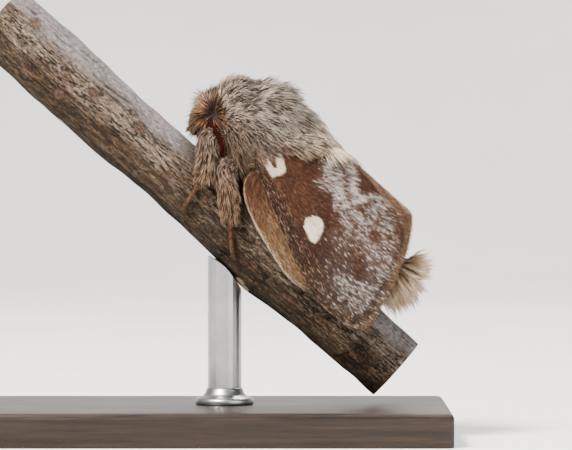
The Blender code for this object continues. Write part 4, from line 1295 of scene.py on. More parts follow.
def make_coat(points, faces, limbs):
    """All the fur of the body, one piece for each part of it."""
    rng = np.random.default_rng(SEED)
    roots = Roots(points, faces, limbs, rng)
    places, ups, part = roots.places, roots.ups, roots.part
    x, y, z = places.T
    hidden = covered(places) & (roof_place(places)[2] < 0.97)
    paints = {
        kind: fur_paint(f"{kind}_fur", colours, DARKEST_STRAND.get(kind, DARKEST_HAIR))
        for kind, colours in FUR_COLOURS.items()
    }

    thorax = (part == "thorax") & (z > BELLY_TOP) & (HEAD.outside(places) > 0.1) & (~hidden | (x < -3.2))
    for word, side in SIDES.items():
        index = roots.chosen(thorax & (y * side > 0), HAIR["thorax"]["spacing"])
        index = index[creaminess(places[index]) <= CREAM_FROM]
        flowing_coat(
            f"thorax_coat_{word}", "thorax", places[index], ups[index], paints["thorax"], rng,
            under=hidden[index],
        )
        legs = (np.char.find(part, f"leg_{word}") > 0) & roots.clear_of_eye
        limb_coat(f"leg_coat_{word}", "leg", legs, roots, paints["leg"], "leg", leg_tints, rng)

    head = (part == "head") & roots.clear_of_eye & (THORAX.outside(places) > -0.2)
    crowded = roots.chosen(head & (whorl_gap(places) < WHORL_SIZE), WHORL_SPACING)
    index = np.union1d(roots.chosen(head, HAIR["head"]["spacing"]), crowded)
    flowing_coat("head_coat", "head", places[index], ups[index], paints["head"], rng)

    belly = (part == "abdomen") | ((part == "thorax") & (z <= BELLY_TOP))
    index = roots.chosen(belly, HAIR["abdomen"]["spacing"])
    flowing_coat(
        "abdomen_coat", "abdomen", places[index], ups[index], paints["abdomen"], rng,
        lambda p: np.tile((1.0, 0.0, -0.1), (len(p), 1)), True,
    )
    cream_coat(roots, paints["thorax"], rng)
    palps = np.char.find(part, "palp") == 0
    limb_coat("palp_coat", "palp", palps, roots, paints["head"], "head_fur", palp_tints, rng)
    tail_coat(paints["tuft"], rng)


def limb_strands(limb, kind, places, ups, rng):
    """Tufts that lie along a limb towards its end."""
    sizes = HAIR[kind]
    full = sizes["length"] * rng.uniform(0.85, 1.2, len(places))
    rise = sizes["height"] * rng.uniform(0.8, 1.3, len(places))

    def spines_of(roots, factor, stray, owner):
        start, _, angle = limb.nearest(roots)
        radius = limb.radius(start)
        spine = []
        for share, level in zip((0.0, 0.5, 1.0), LEVELS):
            at = start + share * full[owner] * factor
            _, out, across = limb.around(at)
            way = swung(out, across, (angle + 0.8 * share * stray)[:, None])
            spine.append(limb.at(at) + way * (radius + rise[owner] * factor * level)[:, None])
        return np.stack(spine, 1)

    return tufted(places, ups, kind, rng, spines_of)


def leg_tints(roots):
    """Leg hair is warmer low down, and has painted shade near the eye."""
    low = smooth_step(4.5, 1.5, roots[:, 2])
    return {"warm": 0.4 * low, "deep": 0.6 * smooth_step(1.2, 0.3, eye_gap(roots))}


def palp_tints(roots):
    """Palp hair is as warm all over, with some of the coat's painted shade."""
    return {"warm": 0.35, "deep": 0.3 * painted_shade_and_collar_tone(roots)}


def limb_coat(name, kind, mask, roots, paint, slot, tints_of, rng):
    """Hair that lies along the thighs and shins towards the foot, or along the palps."""
    index = roots.chosen(mask, HAIR[kind]["spacing"])
    spines, owners = [], []
    for limb_name, limb in roots.limbs.items():
        here = index[roots.part[index] == limb_name]
        here = here[limb.nearest(roots.places[here])[0] > hair_start(limb_name)]
        if len(here):
            made, owner = limb_strands(limb, kind, roots.places[here], roots.ups[here], rng)
            spines.append(made)
            owners.append(here[owner])
    spines, owners = np.concatenate(spines), np.concatenate(owners)
    places = roots.places[owners]
    tints = {"cream": 0.0, **tints_of(places)}
    fur_piece(name, spines, roots.ups[owners], places, HAIR[kind]["width"], paint, slot, rng, **tints)


# Where on a bent hair its places stand, from root to tip
CURVE = (0.0, 0.4, 0.75, 1.0)


def bezier(root, bend, tip, shares=CURVE):
    """Spines that bend from root to tip."""
    return np.stack([(1 - t) ** 2 * root + 2 * t * (1 - t) * bend + t * t * tip for t in shares], 1)


def cream_coat(roots, paint, rng):
    """Long cream hair from the back of the thorax, lying over the ridge between the wings."""
    places = roots.places
    cream = (roots.part == "thorax") & (creaminess(places) > CREAM_FROM) & (np.abs(places[:, 1]) < 1.7)
    index = roots.chosen(cream, 0.16)
    places, outs = places[index], roots.ups[index]
    lengths = rng.uniform(2.2, 3.6, len(index))
    drift = rng.normal(0, 0.1, len(index))

    def spines_of(starts, factor, stray, owner):
        turned = drift[owner] + stray
        run = np.stack([np.ones(len(starts)), 0.1 * starts[:, 1] + turned, -0.12 + 0.5 * turned], 1)
        run = unit(run) * (lengths[owner] * factor)[:, None]
        bend = starts + 0.4 * run + outs[owner] * 0.5
        return bezier(starts, bend, starts + run + (0, 0, 0.25))

    spines, owner = tufted(places, outs, "head", rng, spines_of)
    fur_piece(
        "dorsal_coat", over_wings(spines, 0.25), outs[owner], places[owner], LONG_HAIR_WIDTH, paint,
        "thorax_fur", rng, cream=1.0,
    )


# The tuft at the tail: how far it reaches back and to the sides, and how its hairs are spread over it
TUFT_REACH = 2.75
TUFT_WIDE = 3.35
TUFT_SPLAY = 0.62
TUFT_TRIES = 2600
TUFT_SPACING = 0.115
TUFT_COVER = math.radians(100)
TUFT_CURVE = np.array((0.0, 0.28, 0.55, 0.8, 1.0))


def tail_coat(paint, rng):
    """The tuft at the tail: long fine hair that splays out and back, and droops a little."""
    lean = np.arccos(rng.uniform(math.cos(TUFT_COVER), 1, TUFT_TRIES))
    turn = rng.uniform(0, 2 * math.pi, TUFT_TRIES)
    tailward = np.array((1.0, 0.0, 0.0))
    across = np.stack([0 * turn, np.cos(turn), np.sin(turn)], 1)
    ways = swung(tailward, across, lean[:, None])
    roots = TUFT.skin(ways, -0.25)
    keep = thinned(roots, TUFT_SPACING)
    roots, lean, across, ways = roots[keep], lean[keep], across[keep], ways[keep]
    count = len(keep)
    spread = (lean * TUFT_SPLAY * rng.uniform(0.82, 1.12, count))[:, None]
    size = rng.uniform(0.7, 1.12, (count, 1))
    droop = rng.normal(0.3, 0.3, (count, 1))
    wave = rng.normal(0, 0.13, (count, 3))
    tips = TUFT_CENTRE + swung(TUFT_REACH * tailward, TUFT_WIDE * across, spread) * size
    tips = tips + droop * np.array((math.sin(SLOPE), 0, -math.cos(SLOPE)))
    tips = tips + np.maximum(across[:, 2:], 0) * (-0.45, 0.0, 0.7)
    ripple = (np.sin(TUFT_CURVE * 2.2 * math.pi) * TUFT_CURVE)[None, :, None]

    def spines_of(starts, factor, stray, owner):
        end = starts + (tips[owner] - roots[owner]) * factor[:, None]
        bend = starts + ways[owner] * 0.45 * np.linalg.norm(end - starts, axis=1, keepdims=True)
        return bezier(starts, bend, end, TUFT_CURVE) + wave[owner][:, None] * ripple

    spines, owner = tufted(roots, ways, "tuft", rng, spines_of)
    ups = unit(across[owner] - (0.4, 0, 0))
    unwrap = 0.5 + 0.45 * (lean / TUFT_COVER)[:, None] * across[:, 1:]
    tip_height = tips[owner][:, 2]
    fur_piece(
        "tail_coat", under_wings(spines, 0.6), ups, roots[owner], HAIR["tuft"]["width"], paint, "tuft_fur",
        rng, unwrap[owner], 0.6,
        # Painted shade on the lower tips of the tuft
        warm=0.0, cream=0.4 * smooth_step(6, 9, tip_height), deep=0.3 * smooth_step(5.5, 3.5, tip_height),
    )


# Wings

# Marks of the forewing, as places along the twig and heights over it. The hook is drawn in lines, each with
# half its width
SPOT_CENTRE = np.array((2.72, 4.5))
SPOT_AXIS = np.array((0.67, -0.742))
SPOT_LONG, SPOT_WIDE = 1.16, 0.8
HOOK_LINES = [
    ((-4.7, 6.2), (-3.25, 5.85), 0.3),
    ((-3.25, 5.85), (-2.85, 6.5), 0.33),
    ((-2.95, 6.6), (-3.8, 7.2), 0.33),
]
# Strokes of white scales on the forewing: places along each, half its width, and how dense they are
FROST_STROKES = [
    ([(0.0, 9.6), (1.2, 9.2), (2.2, 8.6), (3.2, 7.8)], 0.6, 0.9),
    ([(3.2, 7.8), (4.1, 7.1), (4.9, 6.5)], 0.6, 0.5),
    ([(0.6, 8.1), (1.5, 8.5)], 0.5, 0.55),
    ([(1.4, 10.7), (2.4, 10.3), (3.0, 9.6), (3.7, 9.0), (4.3, 9.4)], 0.32, 1.2),
    ([(4.6, 10.0), (5.3, 10.2), (6.2, 10.3)], 0.35, 0.65),
    ([(4.5, 7.9), (5.3, 7.8), (6.1, 8.1)], 0.35, 0.7),
    ([(5.9, 9.5), (7.2, 8.8), (8.4, 7.7)], 0.9, 0.36),
    ([(6.2, 7.2), (8.2, 6.6), (9.5, 6.7), (9.7, 5.5)], 0.9, 0.5),
    ([(9.4, 6.8), (10.0, 6.7)], 0.4, 0.8),
    ([(7.6, 2.7), (9.6, 3.2), (10.6, 4.0)], 0.9, 0.46),
    ([(8.6, 1.6), (10.4, 1.8), (10.9, 2.7)], 0.6, 0.4),
    ([(6.9, 1.0), (8.0, 1.0), (9.2, 0.7)], 0.35, 0.4),
    ([(10.2, 0.3), (11.3, 0.8), (12.0, 1.9)], 0.3, 0.35),
    ([(4.8, 5.6), (5.9, 5.0)], 0.7, 0.2),
]
# Bare blots among the white: middle and size
DARK_BLOTS = [((7.5, 5.1), 0.5), ((8.2, 4.2), 0.6), ((7.1, 7.6), 0.6), ((9.0, 1.6), 0.35), ((11.3, 2.0), 0.5)]
# Where the fur at the wing root ends, as heights and places along the twig
FUR_EDGE_Z = (5.2, 7.6, 8.0, 8.4, 9.2, 10.4)
FUR_EDGE_X = (-5.6, -5.1, -3.8, -1.9, -1.0, -1.2)
# Where the tan strip along the trailing edge begins, as places along the wing and heights
STRIP_X = (1.4, 3.8, 7.3, 8.6, 9.6)
STRIP_Z = (11.2, 10.9, 10.3, 9.75, 8.9)
FOREWING_EDGE_HAIRS = 2600
HINDWING_EDGE_HAIRS = 2000


def gap_to_line(places, start, end):
    """The distance of each place from the line between two places."""
    start, end = np.array(start), np.array(end)
    run = end - start
    share = np.clip((places - start) @ run / (run @ run), 0, 1)
    return np.linalg.norm(places - start - share[:, None] * run, axis=1)


def spot_mask(flat):
    """The white marks of the forewing: the egg-shaped spot, and the hook near the root."""
    ragged = 0.045 * field(np.column_stack([flat, 0 * flat[:, 0]]), 3.0)
    away = flat - SPOT_CENTRE
    long_way = away @ SPOT_AXIS
    cross_way = away @ np.array((-SPOT_AXIS[1], SPOT_AXIS[0]))
    wide = SPOT_WIDE * (1 - 0.38 * long_way / SPOT_LONG)
    oval = 1 - np.hypot(long_way / SPOT_LONG, cross_way / wide)
    mask = smooth_step(-0.04, 0.06, oval + ragged)
    for start, end, half in HOOK_LINES:
        mask = np.maximum(mask, smooth_step(0.06, -0.06, gap_to_line(flat, start, end) - half + ragged))
    return mask


def frost_share(flat):
    """How much of the forewing's scales are white: strokes and patches of them, with bare blots between."""
    x, z = flat.T
    solid = np.column_stack([x, z, 0 * x])
    ragged = 0.3 * field(solid, 0.9, 5.0) + 0.12 * field(solid, 3.0, 1.0)
    share = 0.03 * smooth_step(4.0, 7.0, x)
    whiteness = 0.28 + 0.16 * smooth_step(6.5, 8.5, z)
    for line, half, strength in FROST_STROKES:
        gap = np.min([gap_to_line(flat, a, b) for a, b in zip(line, line[1:])], axis=0) + ragged
        share = np.maximum(share, whiteness * strength * smooth_step(2.0 * half, 0.0, gap))
    for middle, size in DARK_BLOTS:
        gap = np.linalg.norm(flat - middle, axis=1) + 0.5 * ragged
        share *= 1 - 0.9 * smooth_step(1.2 * size, 0.6 * size, gap)
    streaks = field(np.column_stack([x * 0.9 + z * 0.5, z * 2.6 - x * 1.3, 0 * x]), 1.6, 2.0)
    return np.clip(share * (1 + 1.5 * streaks), 0, 1)


# Where along the forewing its tan outer edge begins, how deep that is, and the dark line before it
OUTER_EDGE_START = 0.962
OUTER_EDGE_DEPTH = 0.035
RIM_PLACE, RIM_WIDTH = 0.955, 0.013


def forewing_values(points, along, across, rng=None):
    """The forewing's markings and painted shadow at places on it. With rng each scale is either marked or
    not.
    """
    flat = points[:, [0, 2]]
    x, z = flat.T
    spot = spot_mask(flat)
    edge_start = OUTER_EDGE_START - 0.015 * smooth_step(0.3, 0.5, across)
    edge = smooth_step(edge_start, edge_start + OUTER_EDGE_DEPTH, along)
    strip_gap = z - np.interp(x, STRIP_X, STRIP_Z)
    strip = smooth_step(-0.05, 0.08, strip_gap) * smooth_step(1.0, 2.5, x)
    strip = strip * (1 - 0.4 * smooth_step(6.5, 8.5, x))
    folds = field(np.column_stack([x * 0.35, strip_gap * 4, 0 * strip_gap]), 1.0, 6.0)
    # Darker towards the bottom of the wing
    lower = 0.9 * smooth_step(8.0, 2.5, z + 0.5 * folds) * smooth_step(0.0, 3.0, x)
    # Painted shadow in a band along the leading edge
    painted_shadow_and_lines = smooth_step(0.16, 0.08, across) * smooth_step(1.0, 0.92, along)
    # Painted shadow of the fold, a thin line where the tan strip begins
    line = hump(strip_gap, 0.1) * smooth_step(2.0, 4.0, x)
    rim = hump(along - RIM_PLACE, RIM_WIDTH) * smooth_step(0.9, 0.7, across)
    dusting = frost_share(flat) * (1 - 0.8 * edge) * (1 - 0.85 * strip) * (1 - 0.6 * painted_shadow_and_lines) * (1 - 0.7 * rim)
    tan = np.maximum(0.42 * edge, (0.68 + 0.6 * folds) * strip)
    frost = 1.6 * dusting
    if rng is not None:
        count = len(flat)
        frost = np.where(rng.random(count) < 1.1 * dusting, rng.uniform(0.35, 1.0, count), 0.3 * dusting)
        spot = (rng.random(count) < spot).astype(float)
        specks = (rng.random(count) < 0.08 + 0.1 * painted_shadow_and_lines) * (rng.uniform(0.15, 0.8, count) + 0.5 * painted_shadow_and_lines)
        tan = np.clip(np.maximum(tan, specks) + rng.normal(0, 0.08, count) * (1 - 0.6 * painted_shadow_and_lines), 0, 1)
    # The painted shadow joined with the darker lower part and the dark lines
    painted_shadow_and_lines = np.max([painted_shadow_and_lines, lower, 0.9 * line, 1.1 * rim], axis=0)
    return {"spot": spot, "frost": frost, "tan": tan, "painted_shadow_and_lines": painted_shadow_and_lines}


def hindwing_painted_shade(x):
    """Painted shade on the hindwing towards its far end, under the tip of the forewing."""
    return smooth_step(4.8, 6.6, x)


def hindwing_values(points, along, across, rng=None):
    """The hindwing's colours and painted shade at places on it, the same for each scale."""
    x = points[:, 0]
    buff = smooth_step(-2.5, 2.0, x) * smooth_step(0.75, 0.15, across + 0.15 * field(points, 0.5))
    cream = smooth_step(0.012, 0.0, across) * smooth_step(0.02, 0.1, along)
    return {"buff": buff, "cream": 0.45 * cream, "dark": hindwing_painted_shade(x)}


def grid_corners(grid):
    """The four corners of each cell of a grid of point numbers, one after the other round it."""
    return grid[:-1, :-1].ravel(), grid[1:, :-1].ravel(), grid[1:, 1:].ravel(), grid[:-1, 1:].ravel()


# Each wing's form and markings, the rows and columns of its sheet and of its scales, and the length, width
# and lift of a scale
WINGS = {
    "forewing": {
        "form": FOREWING, "values_of": forewing_values, "sheet": (100, 70),
        "scales": (250, 180), "scale": (0.38, 0.066, 0.17),
    },
    "hindwing": {
        "form": HINDWING, "values_of": hindwing_values, "sheet": (80, 60),
        "scales": (90, 130), "scale": (0.8, 0.075, 0.12),
    },
}


def wing_sheet(kind, word, paint):
    """A thin wing with its veins, as one closed sheet that stands for the solid one."""
    wing, side = WINGS[kind], SIDES[word]
    form, (rows, columns) = wing["form"], wing["sheet"]
    shares = np.meshgrid(np.linspace(0, 1, rows), np.linspace(0, 1, columns), indexing="ij")
    along, across = (share.ravel() for share in shares)
    relief = form.relief(along, across)
    top = form.point(along, across, side, WING_TOP + relief)
    low = form.point(along, across, side, WING_TOP - WING_THICK - 0.3 * relief)
    count = rows * columns
    grid = np.arange(count).reshape(rows, columns)
    a, b, c, d = grid_corners(grid)
    rim = np.concatenate([grid[:, 0], grid[-1, 1:], grid[-2::-1, -1], grid[0, -2:0:-1]])
    after = np.roll(rim, -1)
    faces = np.concatenate([
        np.stack([a, b, c], 1), np.stack([a, c, d], 1),
        np.stack([a, c, b], 1) + count, np.stack([a, d, c], 1) + count,
        np.stack([rim, rim + count, after + count], 1), np.stack([rim, after + count, after], 1),
    ])
    if side > 0:
        faces = faces[:, ::-1]
    points = np.concatenate([top, low])
    values = {key: np.tile(v, 2) for key, v in wing["values_of"](top, along, across).items()}
    values["along"] = np.full(2 * count, 0.6)
    values["shade"] = np.clip(0.45 + 0.5 * field(points, 2.5), 0, 1)
    made = piece(f"{kind}_sheet_{word}", points, faces, paint, values)
    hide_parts(f"{kind}_{word}")


def even_spread(rows, columns, rng):
    """Places in the unit square on a shaken grid."""
    i, j = np.meshgrid(np.arange(rows), np.arange(columns), indexing="ij")
    along = (i.ravel() + rng.random(rows * columns)) / rows
    across = (j.ravel() + rng.random(rows * columns)) / columns
    return along, across


def wing_unwrap(along, across):
    """The wing laid flat, with a small border."""
    return np.stack([0.02 + 0.96 * along, 0.02 + 0.96 * across], 1)


def scale_coat(kind, word, paint, rng):
    """Short flat scales that lie over the wing towards its outer edge."""
    wing, side = WINGS[kind], SIDES[word]
    form, (rows, columns), (length, width, lift) = wing["form"], wing["scales"], wing["scale"]
    along, across = even_spread(rows, columns, rng)
    kept = form.below_ridge(along, across)
    along, across = along[kept], across[kept]
    count = len(along)
    base = form.point(along, across, side, WING_TOP + form.relief(along, across))
    out, run = form.frame(along, across, side)
    run = swung(run, np.cross(out, run), rng.normal(0, 0.16, (count, 1)))
    long = length * rng.uniform(0.7, 1.25, (count, 1))
    values = wing["values_of"](base + 0.55 * run * long, along, across, rng)
    frost = values.get("frost", 0)
    raised = (rng.uniform(0.5, 1.5, count) + 0.4 * frost)[:, None]
    tip = base + run * long + out * long * lift * raised
    spines = np.stack([base - out * 0.01, tip], 1)
    values["shade"] = np.clip(rng.normal(0.42, 0.22, count), 0, 1)
    widths = width * rng.uniform(0.75, 1.25, count) * (1 - 0.1 * frost)
    unwrap = wing_unwrap(along, across)
    coat_piece(f"{kind}_scales_{word}", spines, out, widths, paint, values, unwrap, flat=0.3)


def fringe(name, kind, side, along, across, ways, sizes, paint, values, rng, lift=WING_TOP - WING_THICK / 2):
    """Hair along a wing's edge, with the length, width and spread that are its sizes."""
    form, count = WINGS[kind]["form"], len(along)
    length, width, spread = sizes
    base = form.point(along, across, side, lift)
    out, _ = form.frame(np.clip(along, 0, 0.99), np.clip(across, 0, 0.99), side)
    long = (length * rng.uniform(0.7, 1.2, count))[:, None]
    way = unit(ways + rng.normal(0, spread, (count, 3)))
    bend = base + way * 0.5 * long + out * 0.04
    spines = bezier(base - way * 0.1, bend, base + way * long - out * 0.05, (0.0, 0.5, 1.0))
    widths = width * rng.uniform(0.7, 1.2, count)
    values["shade"] = np.clip(rng.normal(0.5, 0.25, count), 0, 1)
    coat_piece(name, spines, out, widths, paint, values, wing_unwrap(along, across))


def basal_hair(word, side, paint, rng):
    """Long grey hair of the thorax that grows on and over the root of the forewing."""
    along, across = even_spread(36, 36, rng)
    along = along * 0.42
    base = FOREWING.point(along, across, side, WING_TOP)
    edge = np.interp(base[:, 2], FUR_EDGE_Z, FUR_EDGE_X) - 1.2 + 0.35 * field(base, 1.2)
    keep = (base[:, 0] < edge) & (base[:, 2] > 5.0)
    along, across, base = along[keep], across[keep], base[keep]
    out, run = FOREWING.frame(along, across, side)
    lengths = rng.uniform(1.2, 1.9, len(base))
    turns = rng.normal(0, 0.16, len(base))

    def spines_of(roots, factor, stray, owner):
        long = (lengths[owner] * factor)[:, None]
        way = swung(run[owner], np.cross(out[owner], run[owner]), (turns[owner] + stray)[:, None])
        bend = roots + way * 0.45 * long + out[owner] * 0.32 * long
        return bezier(roots, bend, roots + way * long + out[owner] * 0.24 * long)

    spines, owner = tufted(base, out, "thorax", rng, spines_of)
    roots = base[owner]
    near_edge = 0.7 * smooth_step(1.1, 0.0, edge[keep] - base[:, 0])[owner]
    fur_piece(
        f"wing_root_coat_{word}", spines, out[owner], roots, LONG_HAIR_WIDTH, paint, "thorax_fur", rng,
        wing_unwrap(along, across)[owner],
        warm=0.5 * near_edge, cream=0.5 * creaminess(roots),
        # The coat's painted shade, and darker near the edge of the fur
        deep=np.maximum(painted_shade_and_collar_tone(roots), near_edge),
    )


def edge_marks(count, frosted, frost, tan, rng):
    """Colours of the hair at the forewing's edges: a share of it frosted, the rest tan between two values."""
    frost = (rng.random(count) < frosted) * frost
    none = np.zeros(count)
    return {"spot": none, "frost": frost, "tan": rng.uniform(*tan, count), "painted_shadow_and_lines": none}


def make_wings():
    """Both wings on both sides, each a sheet under its scales, with the hair at root and edges."""
    rng = np.random.default_rng(SEED + 1)
    paints = {"forewing": forewing_paint(), "hindwing": hindwing_paint()}
    root_fur = fur_paint("wing_root_fur", FUR_COLOURS["thorax"])
    for word, side in SIDES.items():
        for kind, paint in paints.items():
            wing_sheet(kind, word, paint)
        for kind, paint in paints.items():
            scale_coat(kind, word, paint, rng)
        basal_hair(word, side, root_fur, rng)
        edge_hair(word, side, paints, rng)


# Eyes, antennae and feet

def edge_hair(word, side, paints, rng):
    """The fringes of both wings, and the hair on the ridge where the forewings meet."""
    count = FOREWING_EDGE_HAIRS
    across = rng.random(count)
    rim = np.full(count, 0.975)
    _, run = FOREWING.frame(rim, across * 0.98, side)
    fringe(
        f"forewing_fringe_{word}", "forewing", side, rim, across, run, (0.5, 0.08, 0.12), paints["forewing"],
        edge_marks(count, 0.05, 0.6, (0.1, 0.8), rng), rng,
    )
    along, across = rng.uniform(0.2, 0.97, count), rng.uniform(0.9, 1.0, count)
    out, run = FOREWING.frame(along, across, side)
    fringe(
        f"forewing_ridge_hair_{word}", "forewing", side, along, across, run + 0.08 * out, (0.9, 0.08, 0.035),
        paints["forewing"], edge_marks(count, 0.2, 0.5, (0.4, 1.0), rng), rng, WING_TOP,
    )
    count = HINDWING_EDGE_HAIRS
    along, leading = rng.random(count), np.zeros(count)
    out, run = HINDWING.frame(along, leading, side)
    down = unit(run + 0.6 * np.cross(out, run) * side * -1)
    # Painted shade on the far end of the hindwing's fringe, where it has no cream
    dark = hindwing_painted_shade(HINDWING.point(along, leading, side)[:, 0])
    cream = rng.uniform(0.0, 0.9, count) * smooth_step(0.15, 0.6, along) * (1 - dark)
    fringe(
        f"hindwing_fringe_{word}", "hindwing", side, along, leading, down, (0.2 + 0.65 * along, 0.042, 0.18),
        paints["hindwing"], {"buff": np.ones(count), "cream": cream, "dark": dark}, rng,
    )


def make_eyes():
    """Two eyes, each a little higher than wide."""
    paint = eye_paint()
    ways, faces = ball(4)
    for word, side in SIDES.items():
        points = HEAD_CENTRE + EYE_OFFSET * (1, side, 1) + ways * EYE_RADIUS * (1.0, 0.96, 1.04)
        made = piece(f"eye_ball_{word}", points, faces, paint)
        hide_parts(f"eye_{word}")


def single_strands(spines, ups, width, flat=0.6):
    """Points and faces of strands that are all as wide."""
    return strands(spines, ups, np.full(len(spines), width), flat)[:2]


def make_antennae():
    """Each antenna: a ringed shaft with two rows of short side branches and fine hair on them."""
    rng = np.random.default_rng(SEED + 2)
    paint = antenna_paint()
    for word, side in SIDES.items():
        limb = Limb(mirrored(ANTENNA, HEAD_CENTRE, side))
        lengths = np.linspace(0, limb.length, 260)
        ringed = 1 + 0.14 * np.cos(lengths / ANTENNA_RING * 2 * math.pi)
        shaft = tube(limb.at(lengths), limb.radius(lengths) * ringed, 14)
        roots = np.arange(0.9, limb.length - 0.15, ANTENNA_BRANCH_GAP)
        run, out, across = limb.around(roots)
        start = limb.at(roots)
        size = (0.6 * (1 - 0.5 * roots / roots[-1]) + 0.08)[:, None]
        spines = []
        for way in (1, -1):
            lean = unit(across * way + 0.55 * run + 0.3 * out)
            spines.append(bezier(start, start + lean * 0.55 * size, start + (lean + 0.35 * run) * size))
        teeth = single_strands(np.concatenate(spines), np.tile(out, (2, 1)), 0.14)
        along = rng.uniform(0.7, limb.length, ANTENNA_HAIRS)
        run, out, across = limb.around(along)
        way = unit(swung(out, across, rng.uniform(0, 2 * math.pi, (ANTENNA_HAIRS, 1))) + 0.8 * run)
        start = limb.at(along) + way * limb.radius(along)[:, None] * 0.7
        hair = np.stack([start, start + way * rng.uniform(0.1, 0.22, (ANTENNA_HAIRS, 1))], 1)
        points, faces = joined([shaft, teeth, single_strands(hair, out, 0.035)])
        made = piece(f"antenna_shaft_{word}", points, faces, paint)
        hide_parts(f"antenna_{word}")


def make_feet():
    """The feet: five segments each, thinner at the joints, ending in two small claws."""
    rng = np.random.default_rng(SEED + 3)
    paint = tarsus_paint()
    share = np.linspace(0, 1, 120)
    phase = share * FOOT_SEGMENTS % 1
    waist = hump(np.minimum(phase, 1 - phase), 0.09)
    taper = np.interp(share, (0, 0.3, 0.93, 1), (1.15, 0.95, 0.8, 0.3))
    for name, leg in LEGS.items():
        for word, side in SIDES.items():
            ankle, _ = mirrored(leg["shin"][-1:], THORAX_CENTRE, side)[0]
            limb = Limb([(ankle, ANKLE_RADIUS)] + [(p, TARSUS_RADIUS) for p in foot_points(leg, side)], 12)
            lengths = share * limb.length
            body = tube(limb.at(lengths), limb.radius(lengths) * taper * (1 - 0.3 * waist), FOOT_SIDES)
            joint = np.append(np.repeat(waist, FOOT_SIDES), (1.0, 1.0))
            run, out, across = limb.around(np.array([limb.length - 0.03] * 2))
            spread = across * np.array([[1.0], [-1.0]])
            start = limb.at(np.array([limb.length - 0.05] * 2))
            tip = start + 0.3 * run + 0.2 * spread - 0.16 * out
            claws = single_strands(bezier(start, start + 0.2 * run + 0.12 * spread, tip), out, 0.13)
            along = rng.uniform(0.1, limb.length, FOOT_HAIRS)
            run, out, across = limb.around(along)
            way = swung(out, across, rng.uniform(0, 2 * math.pi, (FOOT_HAIRS, 1)))
            root = limb.at(along) + way * limb.radius(along)[:, None] * 0.75
            tip = root + unit(way * 0.5 + run) * rng.uniform(0.15, 0.3, (FOOT_HAIRS, 1))
            bristles = single_strands(np.stack([root, tip], 1), way, 0.045, 0.4)
            points, faces = joined([body, claws, bristles])
            joints = np.concatenate([joint, np.zeros(len(points) - len(joint))])
            piece(f"{name}_foot_{word}", points, faces, paint, {"joint": joints})


# The twig

# Marks of the bark as places along the twig and angles round it: leaf scars, crusts with their size, and
# cracks from end to end
SCARS = [(-27.8, 0.6), (-22.1, -0.47), (-19.8, 0.18), (-14.85, 0.32), (14.3, -0.19)]
CRUSTS = [(-20.4, -1.5, 0.7), (0.9, -1.35, 0.6), (1.7, -1.5, 0.5)]
CRACKS = [((2.25, -1.2), (2.5, -0.4)), ((11.6, -1.0), (12.8, -0.09)), ((-2.0, -1.05), (-0.2, -0.23))]
BARK_ROWS, BARK_COLUMNS = 300, 180
CUT_RINGS = 23
CUT_DEPTH = 0.12


def bark_marks(x, angle):
    """How near each place is to a leaf scar, to the raised rim of one, to yellow crust and to a crack."""
    flat = np.stack([x, angle * TWIG_RADIUS], 1)
    wobble = 0.12 * field(np.column_stack([flat, 0 * x]), 1.6)
    scar, rim, crust = np.zeros((3, len(x)))
    for middle_x, middle_angle in SCARS:
        gap = np.linalg.norm(flat - (middle_x, middle_angle * TWIG_RADIUS), axis=1) + wobble
        scar = np.maximum(scar, smooth_step(0.56, 0.4, gap))
        rim = np.maximum(rim, hump(gap - 0.56, 0.15))
    for middle_x, middle_angle, size in CRUSTS:
        gap = np.linalg.norm(flat - (middle_x, middle_angle * TWIG_RADIUS), axis=1) + 2 * wobble
        crust = np.maximum(crust, smooth_step(size, 0.5 * size, gap))
    ends = np.array(CRACKS) * (1, TWIG_RADIUS)
    gaps = [gap_to_line(flat, start, end) for start, end in ends]
    crack = smooth_step(0.16, 0.04, np.min(gaps, axis=0) + 1.2 * np.abs(wobble))
    return scar, rim, crust, crack


def bark_relief(x, angle):
    """Long furrows and fine grain along the twig: how high each place is, and how deep in a furrow."""
    ring = np.stack([np.cos(angle), np.sin(angle)], 1)
    long = field(np.column_stack([x * 0.09, ring * 3.2]))
    broken = smooth_step(-0.15, 0.25, field(np.column_stack([x * 0.5, ring * 1.5]), 1.0, 4.0))
    furrow = smooth_step(0.1, 0.0, np.abs(long)) * broken
    fine = field(np.column_stack([x * 0.35, ring * 7.5]), 1.0, 3.1)
    furrow = np.maximum(furrow, 0.5 * smooth_step(0.1, 0.0, np.abs(fine)) * smooth_step(-0.2, 0.2, -long))
    lumps = field(np.column_stack([x * 0.5, ring * 1.6]), 1.0, 11.0)
    height = 0.08 * long - 0.15 * furrow + 0.1 * lumps + 0.04 * fine
    return height, furrow


